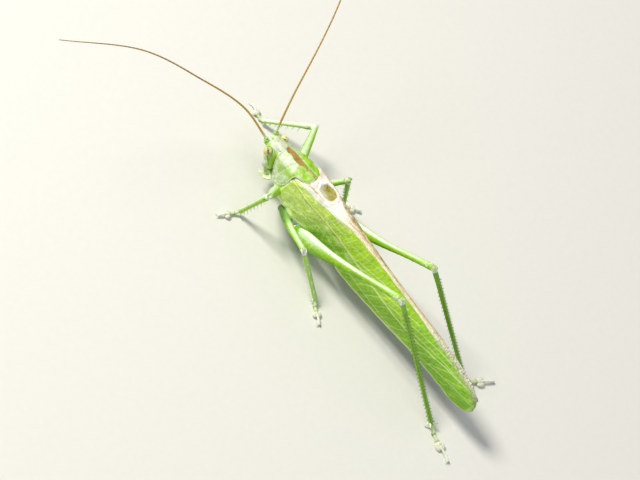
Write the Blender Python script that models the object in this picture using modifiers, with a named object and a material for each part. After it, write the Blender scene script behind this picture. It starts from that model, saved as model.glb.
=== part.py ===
"""Great green bush-cricket (Tettigonia viridissima), male, standing, life size.

Every length below is in millimetres and is turned into metres when a mesh is made.
The animal faces -Y, its left side is +X, and its feet stand on z = 0.  Places are
measured from a point on the ground below the rear edge of the pronotum; the empty
"bush_cricket_frame" moves that point so that the whole animal is centred on the origin.
"""
import math

import bmesh
import bpy
from mathutils import Vector

MM = 0.001
FRAME_SHIFT_Y = -4.9      # centres the whole animal, feelers included, on the origin
FRAME_SHIFT_X = 0.0
GAP = 0.3                 # clearance between neighbouring pieces
WING = 0.5                # thickness of a folded wing
SHELL = 0.5               # thickness of the pronotum's shell

# Midline of the trunk: (y, height of the back), from the head to the tail.
PRONOTUM_FRONT = -7.15
PRONOTUM_REAR = 0.0
PRONOTUM_TOP = ((-7.2, 10.75), (-4.0, 11.2), (0.0, 11.7))
LOBE_REAR = -2.6          # rear edge of the lobes that hang at the pronotum's sides

# Folded forewings, by the distance y behind the pronotum.
WING_TIP = 45.7
WING_TOP = ((-2.0, 11.3), (2.0, 11.45), (8.0, 11.75), (16.0, 11.6), (26.0, 11.2), (36.0, 10.85),
            (41.0, 10.2))
WING_RIDGE = ((-2.0, 2.45), (2.0, 2.25), (6.0, 1.6), (12.0, 0.95), (20.0, 0.55), (30.0, 0.55),
              (36.0, 0.7), (41.0, 1.0), (46.0, 1.2))
RIGHT_RIDGE_TIP = ((30.0, 0.55), (38.0, 0.5), (43.0, 0.35), (46.0, 0.3))
WING_HEM_X = ((-2.0, 2.9), (1.0, 3.05), (3.5, 3.0), (6.0, 2.4), (9.0, 2.2), (14.0, 2.4),
              (24.0, 2.2), (32.0, 1.9), (39.0, 1.5), (46.0, 1.3))
WING_HEM_Z = ((-2.0, 4.8), (1.0, 4.05), (3.5, 3.75), (6.0, 4.1), (9.0, 4.3), (14.0, 3.5),
              (24.0, 4.2), (32.0, 5.0), (39.0, 4.85), (42.0, 4.55))
WING_TIP_MIDDLE = 7.3     # height of the rounded tip
WING_TIP_START = 40.0     # where the rounding of the tip begins
# How far the left wing reaches past the midline near its tip, and the most the right one does.
LEFT_LAP_TIP = ((34.0, 0.6), (39.0, 0.5), (42.5, 0.25), (44.4, -0.15), (46.0, -0.7))
LEFT_LAP = 0.05           # nearer the base, the same beyond its own ridge
RIGHT_LAP = 1.2
WING_LEVEL = (43.0, 45.6)  # between these the right wing rises towards the left one's level
WING_RISE = 0.4
WING_STATIONS = (0.35, 2.35, 4.35, 6.35, 8.35, 11.0, 14.06, 17.11, 20.17, 23.22, 26.28, 29.33,
                 32.39, 35.44, 38.5, 41.0, 43.0)
WING_ENDS = {"left": (44.4, 45.2, 45.6), "right": (44.2, 44.8, 45.05)}

HINDWING_X = 0.33         # how far a hind wing's tip lies from the midline

# Legs: (hip, knee, ankle, toe tip) of the left and the right side.
LEGS = {
    "fore_left": ((2.1, -3.1, 3.9), (8.4, -2.35, 10.4), (8.65, -3.95, 1.0), (12.2, -5.6, 0.33)),
    "fore_right": ((-2.1, -3.1, 3.9), (-9.55, -7.5, 7.5), (-6.5, -14.1, 1.0), (-7.3, -17.7, 0.33)),
    "middle_left": ((2.95, -0.2, 2.9), (8.0, 7.9, 7.7), (7.75, 15.4, 1.0), (9.8, 19.0, 0.33)),
    "middle_right": ((-3.4, -0.2, 2.6), (-5.25, 3.25, 11.3), (-8.9, 5.3, 1.0), (-11.2, 8.0, 0.33)),
    "hind_left": ((3.0, 3.8, 2.3), (4.65, 24.2, 16.0), (4.95, 43.5, 1.05), (6.5, 50.1, 0.33)),
    "hind_right": ((-3.15, 3.8, 2.3), (-3.5, 23.4, 17.3), (-5.85, 41.4, 1.05), (-11.2, 44.7, 0.33)),
}
# Coxae: the inner end of each, on the underside of the trunk; its outer end is the hip.
COXA_ROOTS = {"fore": (1.25, -3.5, 4.0), "middle": (1.5, 0.1, 2.2), "hind": (1.6, 3.2, 1.9)}
COXA_RADII = {"fore": 0.7, "middle": 0.7, "hind": 0.75}

# Where along a segment its rings lie, and a middle line that runs straight.
LIMB_STATIONS = (0, 0.025, 0.09, 0.18, 0.3, 0.42, 0.56, 0.72, 0.9, 0.98, 1)
STRAIGHT = ((0, 0), (1, 0))
# Half-widths and half-heights along each segment, as (share of its length, size).
FEMUR_SIZES = {
    "fore": (((0, 0.55), (0.3, 0.76), (0.7, 0.64), (1, 0.6)),
             ((0, 0.6), (0.3, 0.86), (0.7, 0.68), (1, 0.62))),
    "middle": (((0, 0.55), (0.3, 0.7), (0.7, 0.56), (1, 0.56)),
               ((0, 0.6), (0.3, 0.8), (0.7, 0.6), (1, 0.6))),
    "hind": (((0, 0.7), (0.18, 1.05), (0.4, 0.76), (0.68, 0.55), (0.9, 0.58), (1, 0.62)),
             ((0, 0.95), (0.17, 1.8), (0.38, 1.2), (0.64, 0.72), (0.88, 0.66), (1, 0.74))),
}
FEMUR_BOW = {               # how far a femur's middle line runs outwards
    "fore": STRAIGHT,
    "middle": ((0, 0), (0.4, 0.3), (1, 0)),
    "hind": ((0, 0.15), (0.25, 0.6), (0.6, 0.2), (1, 0)),
}
FEMUR_SAG = {               # and downwards
    "fore": STRAIGHT,
    "middle": STRAIGHT,
    "hind": ((0, 0.1), (0.25, 0.35), (0.55, 0.45), (0.8, 0.15), (1, 0)),
}
TIBIA_SIZES = {
    "fore": ((0, 0.46), (0.15, 0.54), (0.3, 0.44), (1, 0.42)),
    "middle": ((0, 0.46), (0.12, 0.46), (0.5, 0.42), (1, 0.42)),
    "hind": ((0, 0.45), (0.1, 0.46), (0.3, 0.42), (0.6, 0.36), (0.9, 0.36), (1, 0.42)),
}
# Foot seen from above: half-width along it; the wide place is the two-lobed pad.
FOOT_WIDTH = ((0.0, 0.36), (0.22, 0.4), (0.4, 0.42), (0.54, 0.85), (0.65, 0.62), (0.72, 0.3),
              (0.9, 0.28), (1.0, 0.42))
FOOT_HEIGHT = ((0.0, 0.42), (0.3, 0.42), (0.5, 0.45), (0.64, 0.45), (0.74, 0.33), (1.0, 0.34))
FOOT_STATIONS = (0, 0.03, 0.13, 0.28, 0.42, 0.54, 0.63, 0.72, 0.87, 0.97, 1)
# Height of the foot's middle above the ground.
FOOT_RISE = ((0.0, 0.85), (0.22, 0.42), (0.45, 0.33), (0.54, 0.3), (0.63, 0.3), (1.0, 0.33))

# Head.
HEAD_SLICES = (            # (height, half-width, y of the front, y of the back)
    (4.2, 1.25, -7.75, -6.5), (4.8, 1.6, -8.15, -6.5), (5.5, 1.85, -8.6, -6.5),
    (6.3, 2.0, -9.1, -6.6), (7.1, 2.1, -9.5, -6.85), (7.9, 2.12, -9.75, -7.15),
    (8.7, 2.05, -9.85, -7.4), (9.3, 1.9, -9.85, -7.45), (9.8, 1.6, -9.6, -7.45),
    (10.2, 1.2, -9.1, -7.5), (10.45, 0.7, -8.5, -7.6),
)
FASTIGIUM = (9.45, 0.45)   # height, and how far it stands out between the feelers
EYE_CENTRE = (2.0, -8.72, 8.65)
EYE_RADII = (0.68, 0.76, 0.88)

# Feelers: points that each one passes through, root first.
ANTENNA_RADIUS = 0.25
SCAPE_RADIUS = 0.42
WHIP_STEPS = 8            # straight steps in each of a whip's three lengths
ANTENNAE = {
    "left": ((1.1, -10.15, 8.75), (1.25, -10.5, 9.5), (2.4, -16.8, 11.5), (7.2, -23.8, 14.0),
             (16.2, -32.5, 18.8), (31.0, -40.0, 24.2)),
    "right": ((-1.0, -10.15, 8.85), (-1.2, -10.52, 9.6), (-5.1, -13.2, 13.6), (-17.1, -20.7, 24.5),
              (-31.0, -33.5, 39.0)),
}

COLOURS = {                # base colour and roughness
    "body_green": ((0.30, 0.52, 0.07), 0.45),
    "leg_green": ((0.28, 0.52, 0.08), 0.42),
    "wing_green": ((0.32, 0.56, 0.06), 0.4),
    "hindwing_pale": ((0.70, 0.68, 0.48), 0.4),
    "face_green": ((0.42, 0.62, 0.22), 0.4),
    "palp_pale": ((0.75, 0.80, 0.55), 0.4),
    "eye_cream": ((0.72, 0.66, 0.30), 0.25),
    "antenna_brown": ((0.45, 0.27, 0.10), 0.5),
    "foot_pale": ((0.62, 0.62, 0.36), 0.5),
}


def material(name):
    """The named material, made the first time that it is asked for."""
    if name in bpy.data.materials:
        return bpy.data.materials[name]
    colour, roughness = COLOURS[name]
    made = bpy.data.materials.new(name)
    made.use_nodes = True
    shader = made.node_tree.nodes["Principled BSDF"]
    shader.inputs["Base Color"].default_value = (*colour, 1.0)
    shader.inputs["Roughness"].default_value = roughness
    shader.inputs["Metallic"].default_value = 0.0
    return made


def value_at(stops, t):
    """A smooth curve through (t, value) stops, level beyond the first and the last."""
    if t <= stops[0][0]:
        return stops[0][1]
    for i in range(len(stops) - 1):
        (t0, v0), (t1, v1) = stops[i], stops[i + 1]
        if t <= t1:
            before = stops[max(i - 1, 0)]
            after = stops[min(i + 2, len(stops) - 1)]
            slope0 = (v1 - before[1]) / (t1 - before[0])
            slope1 = (after[1] - v0) / (after[0] - t0)
            span, s = t1 - t0, (t - t0) / (t1 - t0)
            return ((2 * s**3 - 3 * s**2 + 1) * v0 + (s**3 - 2 * s**2 + s) * span * slope0
                    + (3 * s**2 - 2 * s**3) * v1 + (s**3 - s**2) * span * slope1)
    return stops[-1][1]


def ease(t):
    """0 to 1 with level ends."""
    t = min(max(t, 0.0), 1.0)
    return t * t * (3 - 2 * t)


def ease_between(span, value):
    """0 to 1 as a value crosses a span, with level ends."""
    return ease((value - span[0]) / (span[1] - span[0]))


def steps(first, last, count):
    """Evenly spaced numbers, both ends included."""
    return [first + (last - first) * i / (count - 1) for i in range(count)]


def add_object(name, bm, colour, origin=(0, 0, 0), sharp=50):
    """Turn a bmesh in millimetres into a smooth-shaded object with its own origin."""
    origin = Vector(origin)
    bmesh.ops.recalc_face_normals(bm, faces=bm.faces)
    for vert in bm.verts:
        vert.co = (vert.co - origin) * MM
    mesh = bpy.data.meshes.new(name)
    bm.to_mesh(mesh)
    bm.free()
    mesh.materials.append(material(colour))
    mesh.shade_smooth()
    mesh.set_sharp_from_angle(angle=math.radians(sharp))
    made = bpy.data.objects.new(name, mesh)
    made.location = origin * MM
    made.parent = FRAME
    PARTS.objects.link(made)
    return made


def loft(name, rings, colour, origin=(0, 0, 0)):
    """A closed solid through rings of equally many points, with flat ends."""
    bm = bmesh.new()
    loops = [[bm.verts.new(point) for point in ring] for ring in rings]
    for near, far in zip(loops, loops[1:]):
        for i in range(len(near)):
            bm.faces.new((near[i - 1], near[i], far[i], far[i - 1]))
    bm.faces.new(list(reversed(loops[0])))
    bm.faces.new(loops[-1])
    return add_object(name, bm, colour, origin)


def oval(centre, side, up, half_width, half_height, count, power=2.0):
    """A ring of points on a superellipse round a centre; power 2 is an ellipse."""
    ring = []
    for i in range(count):
        angle = 2 * math.pi * (i + 0.5) / count
        c, s = math.cos(angle), math.sin(angle)
        across = math.copysign(abs(c) ** (2 / power), c) * half_width
        along = math.copysign(abs(s) ** (2 / power), s) * half_height
        ring.append(centre + side * across + up * along)
    return ring


def trunk(name, sections, colour, count=16, power=2.3):
    """A length of the trunk from (y, half-width, lowest z, highest z) sections."""
    rings = []
    for y, half_width, low, high in sections:
        centre = Vector((0, y, (low + high) / 2))
        rings.append(oval(centre, Vector((1, 0, 0)), Vector((0, 0, 1)), half_width,
                          (high - low) / 2, count, power))
    return loft(name, rings, colour, (0, sections[0][0], (sections[0][2] + sections[0][3]) / 2))


def limb(name, start, end, widths, heights, colour, count=10, stations=LIMB_STATIONS,
         bow=STRAIGHT, sag=STRAIGHT):
    """A tapering length of a limb with rounded ends.

    Widths run across its upright plane and heights in it; bow and sag move its middle line
    away from the body's midline and down.
    """
    start, end = Vector(start), Vector(end)
    along = (end - start).normalized()
    side = along.cross(Vector((0, 0, 1))).normalized()
    up = side.cross(along)
    outward = math.copysign(1.0, side.x * start.x)
    rings = []
    for t in stations:
        rounding = 0.55 if t in (0, 1) else 0.87 if t < 0.05 or t > 0.95 else 1.0
        centre = start.lerp(end, t) + side * outward * value_at(bow, t) - up * value_at(sag, t)
        rings.append(oval(centre, side, up, value_at(widths, t) * rounding,
                          value_at(heights, t) * rounding, count))
    return loft(name, rings, colour, start)


def foot(name, ankle, toe):
    """A foot whose underside lies flat on the ground."""
    along = Vector((toe.x - ankle.x, toe.y - ankle.y, 0)).normalized()
    side = along.cross(Vector((0, 0, 1)))
    rings = []
    for t in FOOT_STATIONS:
        rounding = 0.6 if t in (0, 1) else 0.9 if t < 0.05 or t > 0.95 else 1.0
        centre = ankle.lerp(toe, t)
        centre.z = value_at(FOOT_RISE, t)
        ring = oval(centre, side, Vector((0, 0, 1)), value_at(FOOT_WIDTH, t) * rounding,
                    value_at(FOOT_HEIGHT, t) * rounding, 12)
        for point in ring:
            point.z = max(point.z, 0.0)
        rings.append(ring)
    loft(name, rings, "foot_pale", ankle)


def standoff(back, ahead, radius):
    """How far a joint's outer piece starts from the joint, to clear the inner one."""
    angle = back.angle(ahead)
    return radius * (1 + 0.3 * max(math.cos(angle), 0)) / max(math.sin(angle), 0.5) + GAP


def head():
    """Skull with the fastigium between the feelers, and a socket for each eye."""
    rings = []
    for z, half_width, front, back in HEAD_SLICES:
        middle = (front + back) / 2
        ring = oval(Vector((0, middle, z)), Vector((0, -1, 0)), Vector((1, 0, 0)),
                    (back - front) / 2, half_width, 20, 2.25)
        height, reach = FASTIGIUM
        for point in ring:
            if point.y < middle:
                bump = math.exp(-((point.z - height) / 0.4) ** 2 - (point.x / 0.5) ** 2)
                point.y -= reach * bump
        rings.append(ring)
    skull = loft("head", rings, "body_green", (0, -7.4, 8.0))
    for side in (1, -1):
        cutter = eye_ball("eye_socket_cutter", side, GAP * 0.7)
        PARTS.objects.unlink(cutter)
        CUTTERS.objects.link(cutter)
        cutter.hide_render = True
        cutter.display_type = "WIRE"
        cut = skull.modifiers.new("socket", "BOOLEAN")
        cut.operation = "DIFFERENCE"
        cut.solver = "EXACT"
        cut.object = cutter


def eye_ball(name, side, grow=0.0):
    """An egg-shaped eye on one side of the head, or its socket's cutter."""
    bm = bmesh.new()
    bmesh.ops.create_uvsphere(bm, u_segments=14, v_segments=9, radius=1.0)
    centre = Vector((side * EYE_CENTRE[0], EYE_CENTRE[1], EYE_CENTRE[2]))
    for vert in bm.verts:
        for axis in range(3):
            vert.co[axis] = vert.co[axis] * (EYE_RADII[axis] + grow) + centre[axis]
    return add_object(name, bm, "eye_cream", centre)


def mouthparts():
    """Upper lip, jaws and the two long palps, below the face."""
    tilt = (Vector((1, 0, 0)), Vector((0, -1, 0.35)).normalized())
    lip = [((0, -7.35, 3.95), 0.95, 0.3), ((0, -7.3, 3.5), 0.9, 0.38), ((0, -7.15, 3.0), 0.75, 0.33),
           ((0, -7.0, 2.65), 0.45, 0.25)]
    loft("upper_lip", [oval(Vector(c), *tilt, w, d, 12) for c, w, d in lip], "face_green", lip[0][0])
    for side, word in ((1, "left"), (-1, "right")):
        jaw = [((side * 0.85, -6.45, 3.9), 0.42, 0.45), ((side * 0.75, -6.4, 3.3), 0.5, 0.42),
               ((side * 0.5, -6.45, 2.8), 0.3, 0.3)]
        loft(f"jaw_{word}", [oval(Vector(c), *tilt, w, d, 10) for c, w, d in jaw], "face_green",
             jaw[0][0])
        route = ((side * 1.45, -5.9, 3.75), (side * 1.8, -5.35, 3.35), (side * 2.0, -5.55, 2.95),
                 (side * 2.05, -6.4, 2.9), (side * 2.05, -7.3, 3.0))
        wire(f"palp_{word}", route, 0.27, "palp_pale", 9)


def smooth_route(points, count):
    """Points along a Catmull-Rom curve through the given ones, evenly in number."""
    points = [Vector(p) for p in points]
    ends = [points[0] * 2 - points[1], *points, points[-1] * 2 - points[-2]]
    route = []
    for t in steps(0, len(points) - 1, count):
        i = min(int(t), len(points) - 2)
        a, b, c, d = ends[i:i + 4]
        s = t - i
        route.append(0.5 * ((2 * b) + (c - a) * s + (2 * a - 5 * b + 4 * c - d) * s**2
                            + (3 * b - a - 3 * c + d) * s**3))
    return route


def wire(name, points, radius, colour, count):
    """A round wire with filled ends along a smooth route."""
    return wire_on(name, smooth_route(points, count), radius, colour)


def wire_on(name, route, radius, colour):
    """A round wire with filled ends through exactly these points."""
    curve = bpy.data.curves.new(name, "CURVE")
    curve.dimensions = "3D"
    curve.bevel_depth = radius * MM
    curve.bevel_resolution = 2
    curve.use_fill_caps = True
    line = curve.splines.new("POLY")
    line.points.add(len(route) - 1)
    origin = route[0]
    for slot, point in zip(line.points, route):
        slot.co = (*((point - origin) * MM), 1.0)
    curve.materials.append(material(colour))
    made = bpy.data.objects.new(name, curve)
    made.location = origin * MM
    made.parent = FRAME
    PARTS.objects.link(made)
    return made


def antennae():
    """Each feeler: a stout root joint, then three lengths of the whip."""
    for word, points in ANTENNAE.items():
        root, neck = Vector(points[0]), Vector(points[1])
        limb(f"antenna_{word}_root", root, neck, ((0, SCAPE_RADIUS), (1, SCAPE_RADIUS * 0.8)),
             ((0, SCAPE_RADIUS), (1, SCAPE_RADIUS * 0.8)), "body_green",
             stations=(0, 0.12, 0.3, 0.7, 0.96, 1))
        route = smooth_route(points[1:], 3 * WHIP_STEPS + 1)
        route[0] = route[0] + (route[1] - route[0]).normalized() * GAP
        for length in range(3):
            piece = route[length * WHIP_STEPS:(length + 1) * WHIP_STEPS + 1]
            if length:
                piece[0] = piece[0] + (piece[1] - piece[0]).normalized() * GAP
            wire_on(f"antenna_{word}_{length + 1}", piece, ANTENNA_RADIUS, "antenna_brown")


def pronotum():
    """Saddle-shaped shell: a flat disc above and a rounded lobe down each side."""
    across, along = 25, 10
    fronts = ((0, PRONOTUM_FRONT), (0.5, -7.1), (0.8, -6.5), (1, -5.35))
    rears = ((0, PRONOTUM_REAR), (0.25, -0.15), (0.36, -0.7), (0.48, -2.4), (0.58, LOBE_REAR),
             (0.8, LOBE_REAR), (0.9, -2.9), (1, -3.8))
    hems = ((-7.2, 7.9), (-5.6, 5.9), (-4.4, 5.4), (-2.4, 6.0), (0, 6.0))
    widths = ((-7.2, 1.6), (-4, 2.4), (-1.3, 2.8), (0, 2.7))
    bm = bmesh.new()
    rows = []
    for j in steps(0, 1, along):
        row = []
        for i in steps(-1, 1, across):
            v = abs(i)
            y = value_at(fronts, v) + (value_at(rears, v) - value_at(fronts, v)) * j
            top, half_width = value_at(PRONOTUM_TOP, y), value_at(widths, y)
            x = half_width * min(v / 0.46, 1.0) ** 0.92
            x += 0.22 * ease((v - 0.4) / 0.35) - 0.1 * ease((v - 0.8) / 0.2)
            drop = (0.5 + 0.35 * ease((-4.5 - y) / 2.5)) * min(v / 0.42, 1.0) ** 2.2
            drop += (top - 0.5 - value_at(hems, y)) * max((v - 0.4) / 0.6, 0.0) ** 1.15
            row.append(bm.verts.new((math.copysign(x, i) if v > 1e-6 else 0.0, y, top - drop)))
        rows.append(row)
    for near, far in zip(rows, rows[1:]):
        for i in range(across - 1):
            bm.faces.new((near[i], near[i + 1], far[i + 1], far[i]))
    shell = add_object("pronotum", bm, "body_green", (0, PRONOTUM_REAR, 11.7), 60)
    thicken = shell.modifiers.new("shell", "SOLIDIFY")
    thicken.thickness = SHELL * MM
    thicken.offset = -1.0
    thicken.use_even_offset = False


def trunk_pieces():
    """Neck, thorax and the three lengths of the abdomen, with the tail's plates."""
    trunk("neck", ((-6.2, 1.2, 5.2, 8.6), (-6.0, 1.4, 5.0, 9.2), (-4.6, 1.6, 5.1, 10.1),
                   (-3.2, 1.65, 5.15, 10.2), (-2.9, 1.4, 5.4, 10.0)), "body_green")
    trunk("thorax", ((-2.6, 1.45, 4.3, 10.0), (-2.2, 1.7, 3.8, 10.2), (-0.6, 1.8, 3.2, 10.1),
                     (2.0, 1.8, 3.0, 9.6), (4.4, 1.6, 2.9, 9.3), (5.0, 1.4, 3.1, 9.1)), "body_green")
    trunk("abdomen_1", ((5.3, 1.25, 3.0, 8.9), (5.7, 1.35, 2.5, 9.1), (8.5, 1.4, 2.4, 9.1),
                        (11.2, 1.5, 2.6, 9.0), (11.5, 1.4, 2.8, 8.9)), "body_green")
    trunk("abdomen_2", ((11.8, 1.4, 2.8, 8.9), (12.1, 1.5, 2.6, 9.0), (14.8, 1.5, 2.9, 8.8),
                        (17.3, 1.4, 3.4, 8.6), (17.6, 1.3, 3.6, 8.5)), "body_green")
    trunk("abdomen_3", ((17.9, 1.3, 3.6, 8.5), (18.2, 1.4, 3.45, 8.6), (20.4, 1.3, 4.1, 8.3),
                        (22.2, 1.2, 5.4, 8.0), (22.6, 0.9, 5.9, 7.7)), "body_green")
    trunk("subgenital_plate", ((20.6, 0.8, 3.1, 3.6), (21.4, 1.0, 3.15, 3.95),
                               (22.6, 1.0, 3.5, 4.7), (24.0, 0.85, 4.05, 4.9),
                               (24.6, 0.6, 4.3, 4.8)), "body_green", 12)
    for side, word in ((1, "left"), (-1, "right")):
        limb(f"cercus_{word}", (side * 0.75, 22.9, 6.4), (side * 1.0, 26.4, 6.6),
             ((0, 0.34), (0.6, 0.3), (1, 0.25)), ((0, 0.34), (0.6, 0.3), (1, 0.25)), "body_green",
             8, stations=(0, 0.05, 0.35, 0.65, 0.95, 1))


def wing_section(y, side):
    """Heights of a folded wing's top and hem, and their distances from the midline."""
    top, hem = value_at(WING_TOP, y), value_at(WING_HEM_Z, y)
    ridge, flare = value_at(WING_RIDGE, y), value_at(WING_HEM_X, y)
    if side < 0 and y > RIGHT_RIDGE_TIP[0][0]:
        ridge = value_at(RIGHT_RIDGE_TIP, y)
    if y > WING_TIP_START:
        reach = (y - WING_TIP_START) / (WING_TIP - WING_TIP_START)
        share = math.sqrt(max(1 - reach**2.4, 0.0))
        top = WING_TIP_MIDDLE + (top - WING_TIP_MIDDLE) * share
        hem = WING_TIP_MIDDLE + (hem - WING_TIP_MIDDLE) * share
    return top, hem, ridge, flare


def wing_lap(y, side):
    """How far a wing reaches past the midline, and how much lower it lies than the left one."""
    ridge = wing_section(y, side)[2]
    if side < 0:
        drop = WING + GAP - WING_RISE * ease_between(WING_LEVEL, y)
        return max(min(ridge - WING - GAP - 0.1, RIGHT_LAP), -GAP / 2), drop
    if y > LEFT_LAP_TIP[0][0]:
        return min(ridge + LEFT_LAP, value_at(LEFT_LAP_TIP, y)), 0.0
    return ridge + LEFT_LAP, 0.0


def wing_outline(y, side, inset):
    """Points down one folded wing, from over the back to the hem.

    inset is how far inside the outer face the points run.
    """
    top, hem, ridge, flare = wing_section(y, side)
    overlap, drop = wing_lap(y, side)
    top -= drop + inset
    points = []
    for x in (-overlap, (ridge - overlap) / 2):
        points.append((x, top - 0.08 * (x / max(ridge, 0.6)) ** 2))
    shoulder, low = max(ridge - inset * 0.6, 0.12), max(flare - inset, 0.2)
    for t in (0.0, 0.06, 0.2, 0.4, 0.62, 0.82, 1.0):
        bulge = 0.35 * math.sin(math.pi * t**0.7) * min((top - hem) / 6, 1) if t else 0.0
        points.append((shoulder + (low - shoulder) * t**0.75 + bulge,
                       top - 0.08 + (hem - top + 0.08) * t))
    return points


def forewings():
    """The two leathery forewings: the left one lies over the right one on the back."""
    for side, word in ((1, "left"), (-1, "right")):
        rings = []
        for y in WING_STATIONS + WING_ENDS[word]:
            outer = wing_outline(y, side, 0.0)
            inner = wing_outline(y, side, WING)
            ring = []
            for k, (x, z) in enumerate([*outer, *reversed(inner)]):
                place = k if k < len(outer) else 2 * len(outer) - 1 - k
                sweep = -2.35 * ease((place - 2) / 2.5) * (1 - ease((y - 0.3) / 5.0))
                ring.append(Vector((side * x, y + sweep, z)))
            rings.append(ring)
        loft(f"forewing_{word}", rings, "wing_green", (side * 2.2, 0.0, 11.0))


def hindwings():
    """Folded hind wings between the forewings, showing just past their tips."""
    for side, word in ((1, "left"), (-1, "right")):
        rings = []
        for y, low, high in ((36.0, 6.6, 7.6), (38.0, 6.2, 8.0), (41.0, 6.1, 7.5), (43.4, 6.2, 7.1),
                             (44.6, 6.5, 7.0), (45.0, 6.65, 6.9)):
            centre = Vector((side * HINDWING_X, y, (low + high) / 2))
            rings.append(oval(centre, Vector((1, 0, 0)), Vector((0, 0, 1)), WING / 2,
                              (high - low) / 2, 8, 3))
        loft(f"hindwing_{word}", rings, "hindwing_pale", (side * HINDWING_X, 36.0, 7.1))


def legs():
    """Six legs, each of a coxa, a femur, a tibia and a foot with its pads on the ground."""
    for name, joints in LEGS.items():
        kind = name.split("_")[0]
        hip, knee, ankle, toe = (Vector(p) for p in joints)
        root = Vector(COXA_ROOTS[kind])
        root.x = math.copysign(root.x, hip.x)
        radius = COXA_RADII[kind]
        round_coxa = ((0, radius), (1, radius))
        limb(f"{name}_coxa", root, hip, round_coxa, round_coxa, "leg_green",
             stations=(0, 0.15, 0.5, 0.85, 1))
        thigh, shin, sole = knee - hip, ankle - knee, toe - ankle
        widths, heights = FEMUR_SIZES[kind]
        start = hip + thigh.normalized() * standoff(root - hip, thigh, radius * 0.75)
        end = knee + thigh.normalized() * 0.2
        limb(f"{name}_femur", start, end, widths, heights, "leg_green",
             bow=FEMUR_BOW[kind], sag=FEMUR_SAG[kind])
        sizes = TIBIA_SIZES[kind]
        start = knee + shin.normalized() * standoff(hip - knee, shin, value_at(heights, 1.0))
        limb(f"{name}_tibia", start, ankle, sizes, sizes, "leg_green", 8)
        foot(f"{name}_foot", ankle + sole.normalized() * standoff(knee - ankle, sole, 0.3), toe)


for old in list(bpy.data.objects):
    bpy.data.objects.remove(old)
PARTS = bpy.data.collections.new("bush_cricket")
CUTTERS = bpy.data.collections.new("cutters")
bpy.context.scene.collection.children.link(PARTS)
bpy.context.scene.collection.children.link(CUTTERS)
FRAME = bpy.data.objects.new("bush_cricket_frame", None)
FRAME.location = (FRAME_SHIFT_X * MM, FRAME_SHIFT_Y * MM, 0.0)
PARTS.objects.link(FRAME)

head()
eye_ball("eye_left", 1)
eye_ball("eye_right", -1)
mouthparts()
antennae()
pronotum()
trunk_pieces()
forewings()
hindwings()
legs()
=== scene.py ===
"""Great green bush-cricket: the skins, wings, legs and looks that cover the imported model.

Shapes are worked out in millimetres in the insect's own frame: it faces -Y, its left is +X,
it stands on z = 0, and y = 0 is below the pronotum's rear edge.  place() turns them into the
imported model's metres.  A piece's marks are four colour masks, 0 to 1 at each point: how pale
it is, how far it takes the third colour, how dark it is and how deep its green.  On a forewing
they are cream, brown, olive and light green.
"""
import math
from types import SimpleNamespace

import bmesh
import bpy
import numpy as np
from mathutils import Matrix, Vector


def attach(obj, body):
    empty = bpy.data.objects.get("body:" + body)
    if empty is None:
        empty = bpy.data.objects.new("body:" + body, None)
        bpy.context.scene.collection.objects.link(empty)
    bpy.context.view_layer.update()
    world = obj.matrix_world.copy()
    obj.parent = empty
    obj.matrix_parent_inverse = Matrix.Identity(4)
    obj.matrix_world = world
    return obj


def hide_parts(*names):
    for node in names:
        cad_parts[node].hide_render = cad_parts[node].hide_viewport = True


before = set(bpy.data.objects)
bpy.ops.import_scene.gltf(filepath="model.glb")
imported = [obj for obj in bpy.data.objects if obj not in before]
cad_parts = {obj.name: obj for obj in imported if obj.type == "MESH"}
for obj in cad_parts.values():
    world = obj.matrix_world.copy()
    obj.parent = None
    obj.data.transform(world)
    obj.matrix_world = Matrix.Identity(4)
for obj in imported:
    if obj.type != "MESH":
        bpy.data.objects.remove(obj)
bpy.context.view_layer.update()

MM = 0.001
SHIFT = np.array((0.0, -4.9, 0.0))        # from the insect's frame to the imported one, in mm
UP = np.array((0.0, 0.0, 1.0))
SIDES = ((1, "left"), (-1, "right"))


# ---------------------------------------------------------------- shapes

def vec(*values):
    return np.array(values, float)


def unit(v):
    return v / np.linalg.norm(v, axis=-1, keepdims=True)


# The camera's own axes: towards it from its target, to its right, and up in the picture.
VIEW_BACK = vec(0.5722, 0.0400, 0.8192)
VIEW_RIGHT = vec(-0.6582, 0.6182, 0.4296)
VIEW_UP = vec(-0.4892, -0.7850, 0.3801)


def curve_at(stops, t):
    """A smooth curve through (t, value) stops, level beyond the ends; t may be an array."""
    at = np.array([s[0] for s in stops], float)
    value = np.array([s[1] for s in stops], float)
    steps = np.diff(value) / np.diff(at)
    slope = np.concatenate((steps[:1], (value[2:] - value[:-2]) / (at[2:] - at[:-2]), steps[-1:]))
    t = np.clip(t, at[0], at[-1])
    i = np.clip(np.searchsorted(at, t, side="right") - 1, 0, len(at) - 2)
    span = at[i + 1] - at[i]
    s = (t - at[i]) / span
    return ((2 * s**3 - 3 * s**2 + 1) * value[i] + (s**3 - 2 * s**2 + s) * span * slope[i]
            + (3 * s**2 - 2 * s**3) * value[i + 1] + (s**3 - s**2) * span * slope[i + 1])


def section_at(sections, t):
    """The other numbers of (t, number, ...) sections at one t, along smooth curves."""
    return [float(curve_at([(s[0], s[k]) for s in sections], t))
            for k in range(1, len(sections[0]))]


def to_side(points, side):
    """Points of the left side, moved to the side that is asked for."""
    return np.array(points, float) * (side, 1, 1)


def ease(t):
    """0 to 1 with level ends."""
    t = np.clip(t, 0.0, 1.0)
    return t * t * (3 - 2 * t)


def between(low, high, value):
    """0 to 1 as a value goes from low to high, with level ends."""
    return ease((value - low) / (high - low))


def bell(distance, width):
    """1 at no distance, falling off within about the width."""
    return np.exp(-(distance / width) ** 2)


def strongest(*masks):
    """The greatest of several masks at each point."""
    return np.maximum.reduce(np.broadcast_arrays(*masks))


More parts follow.
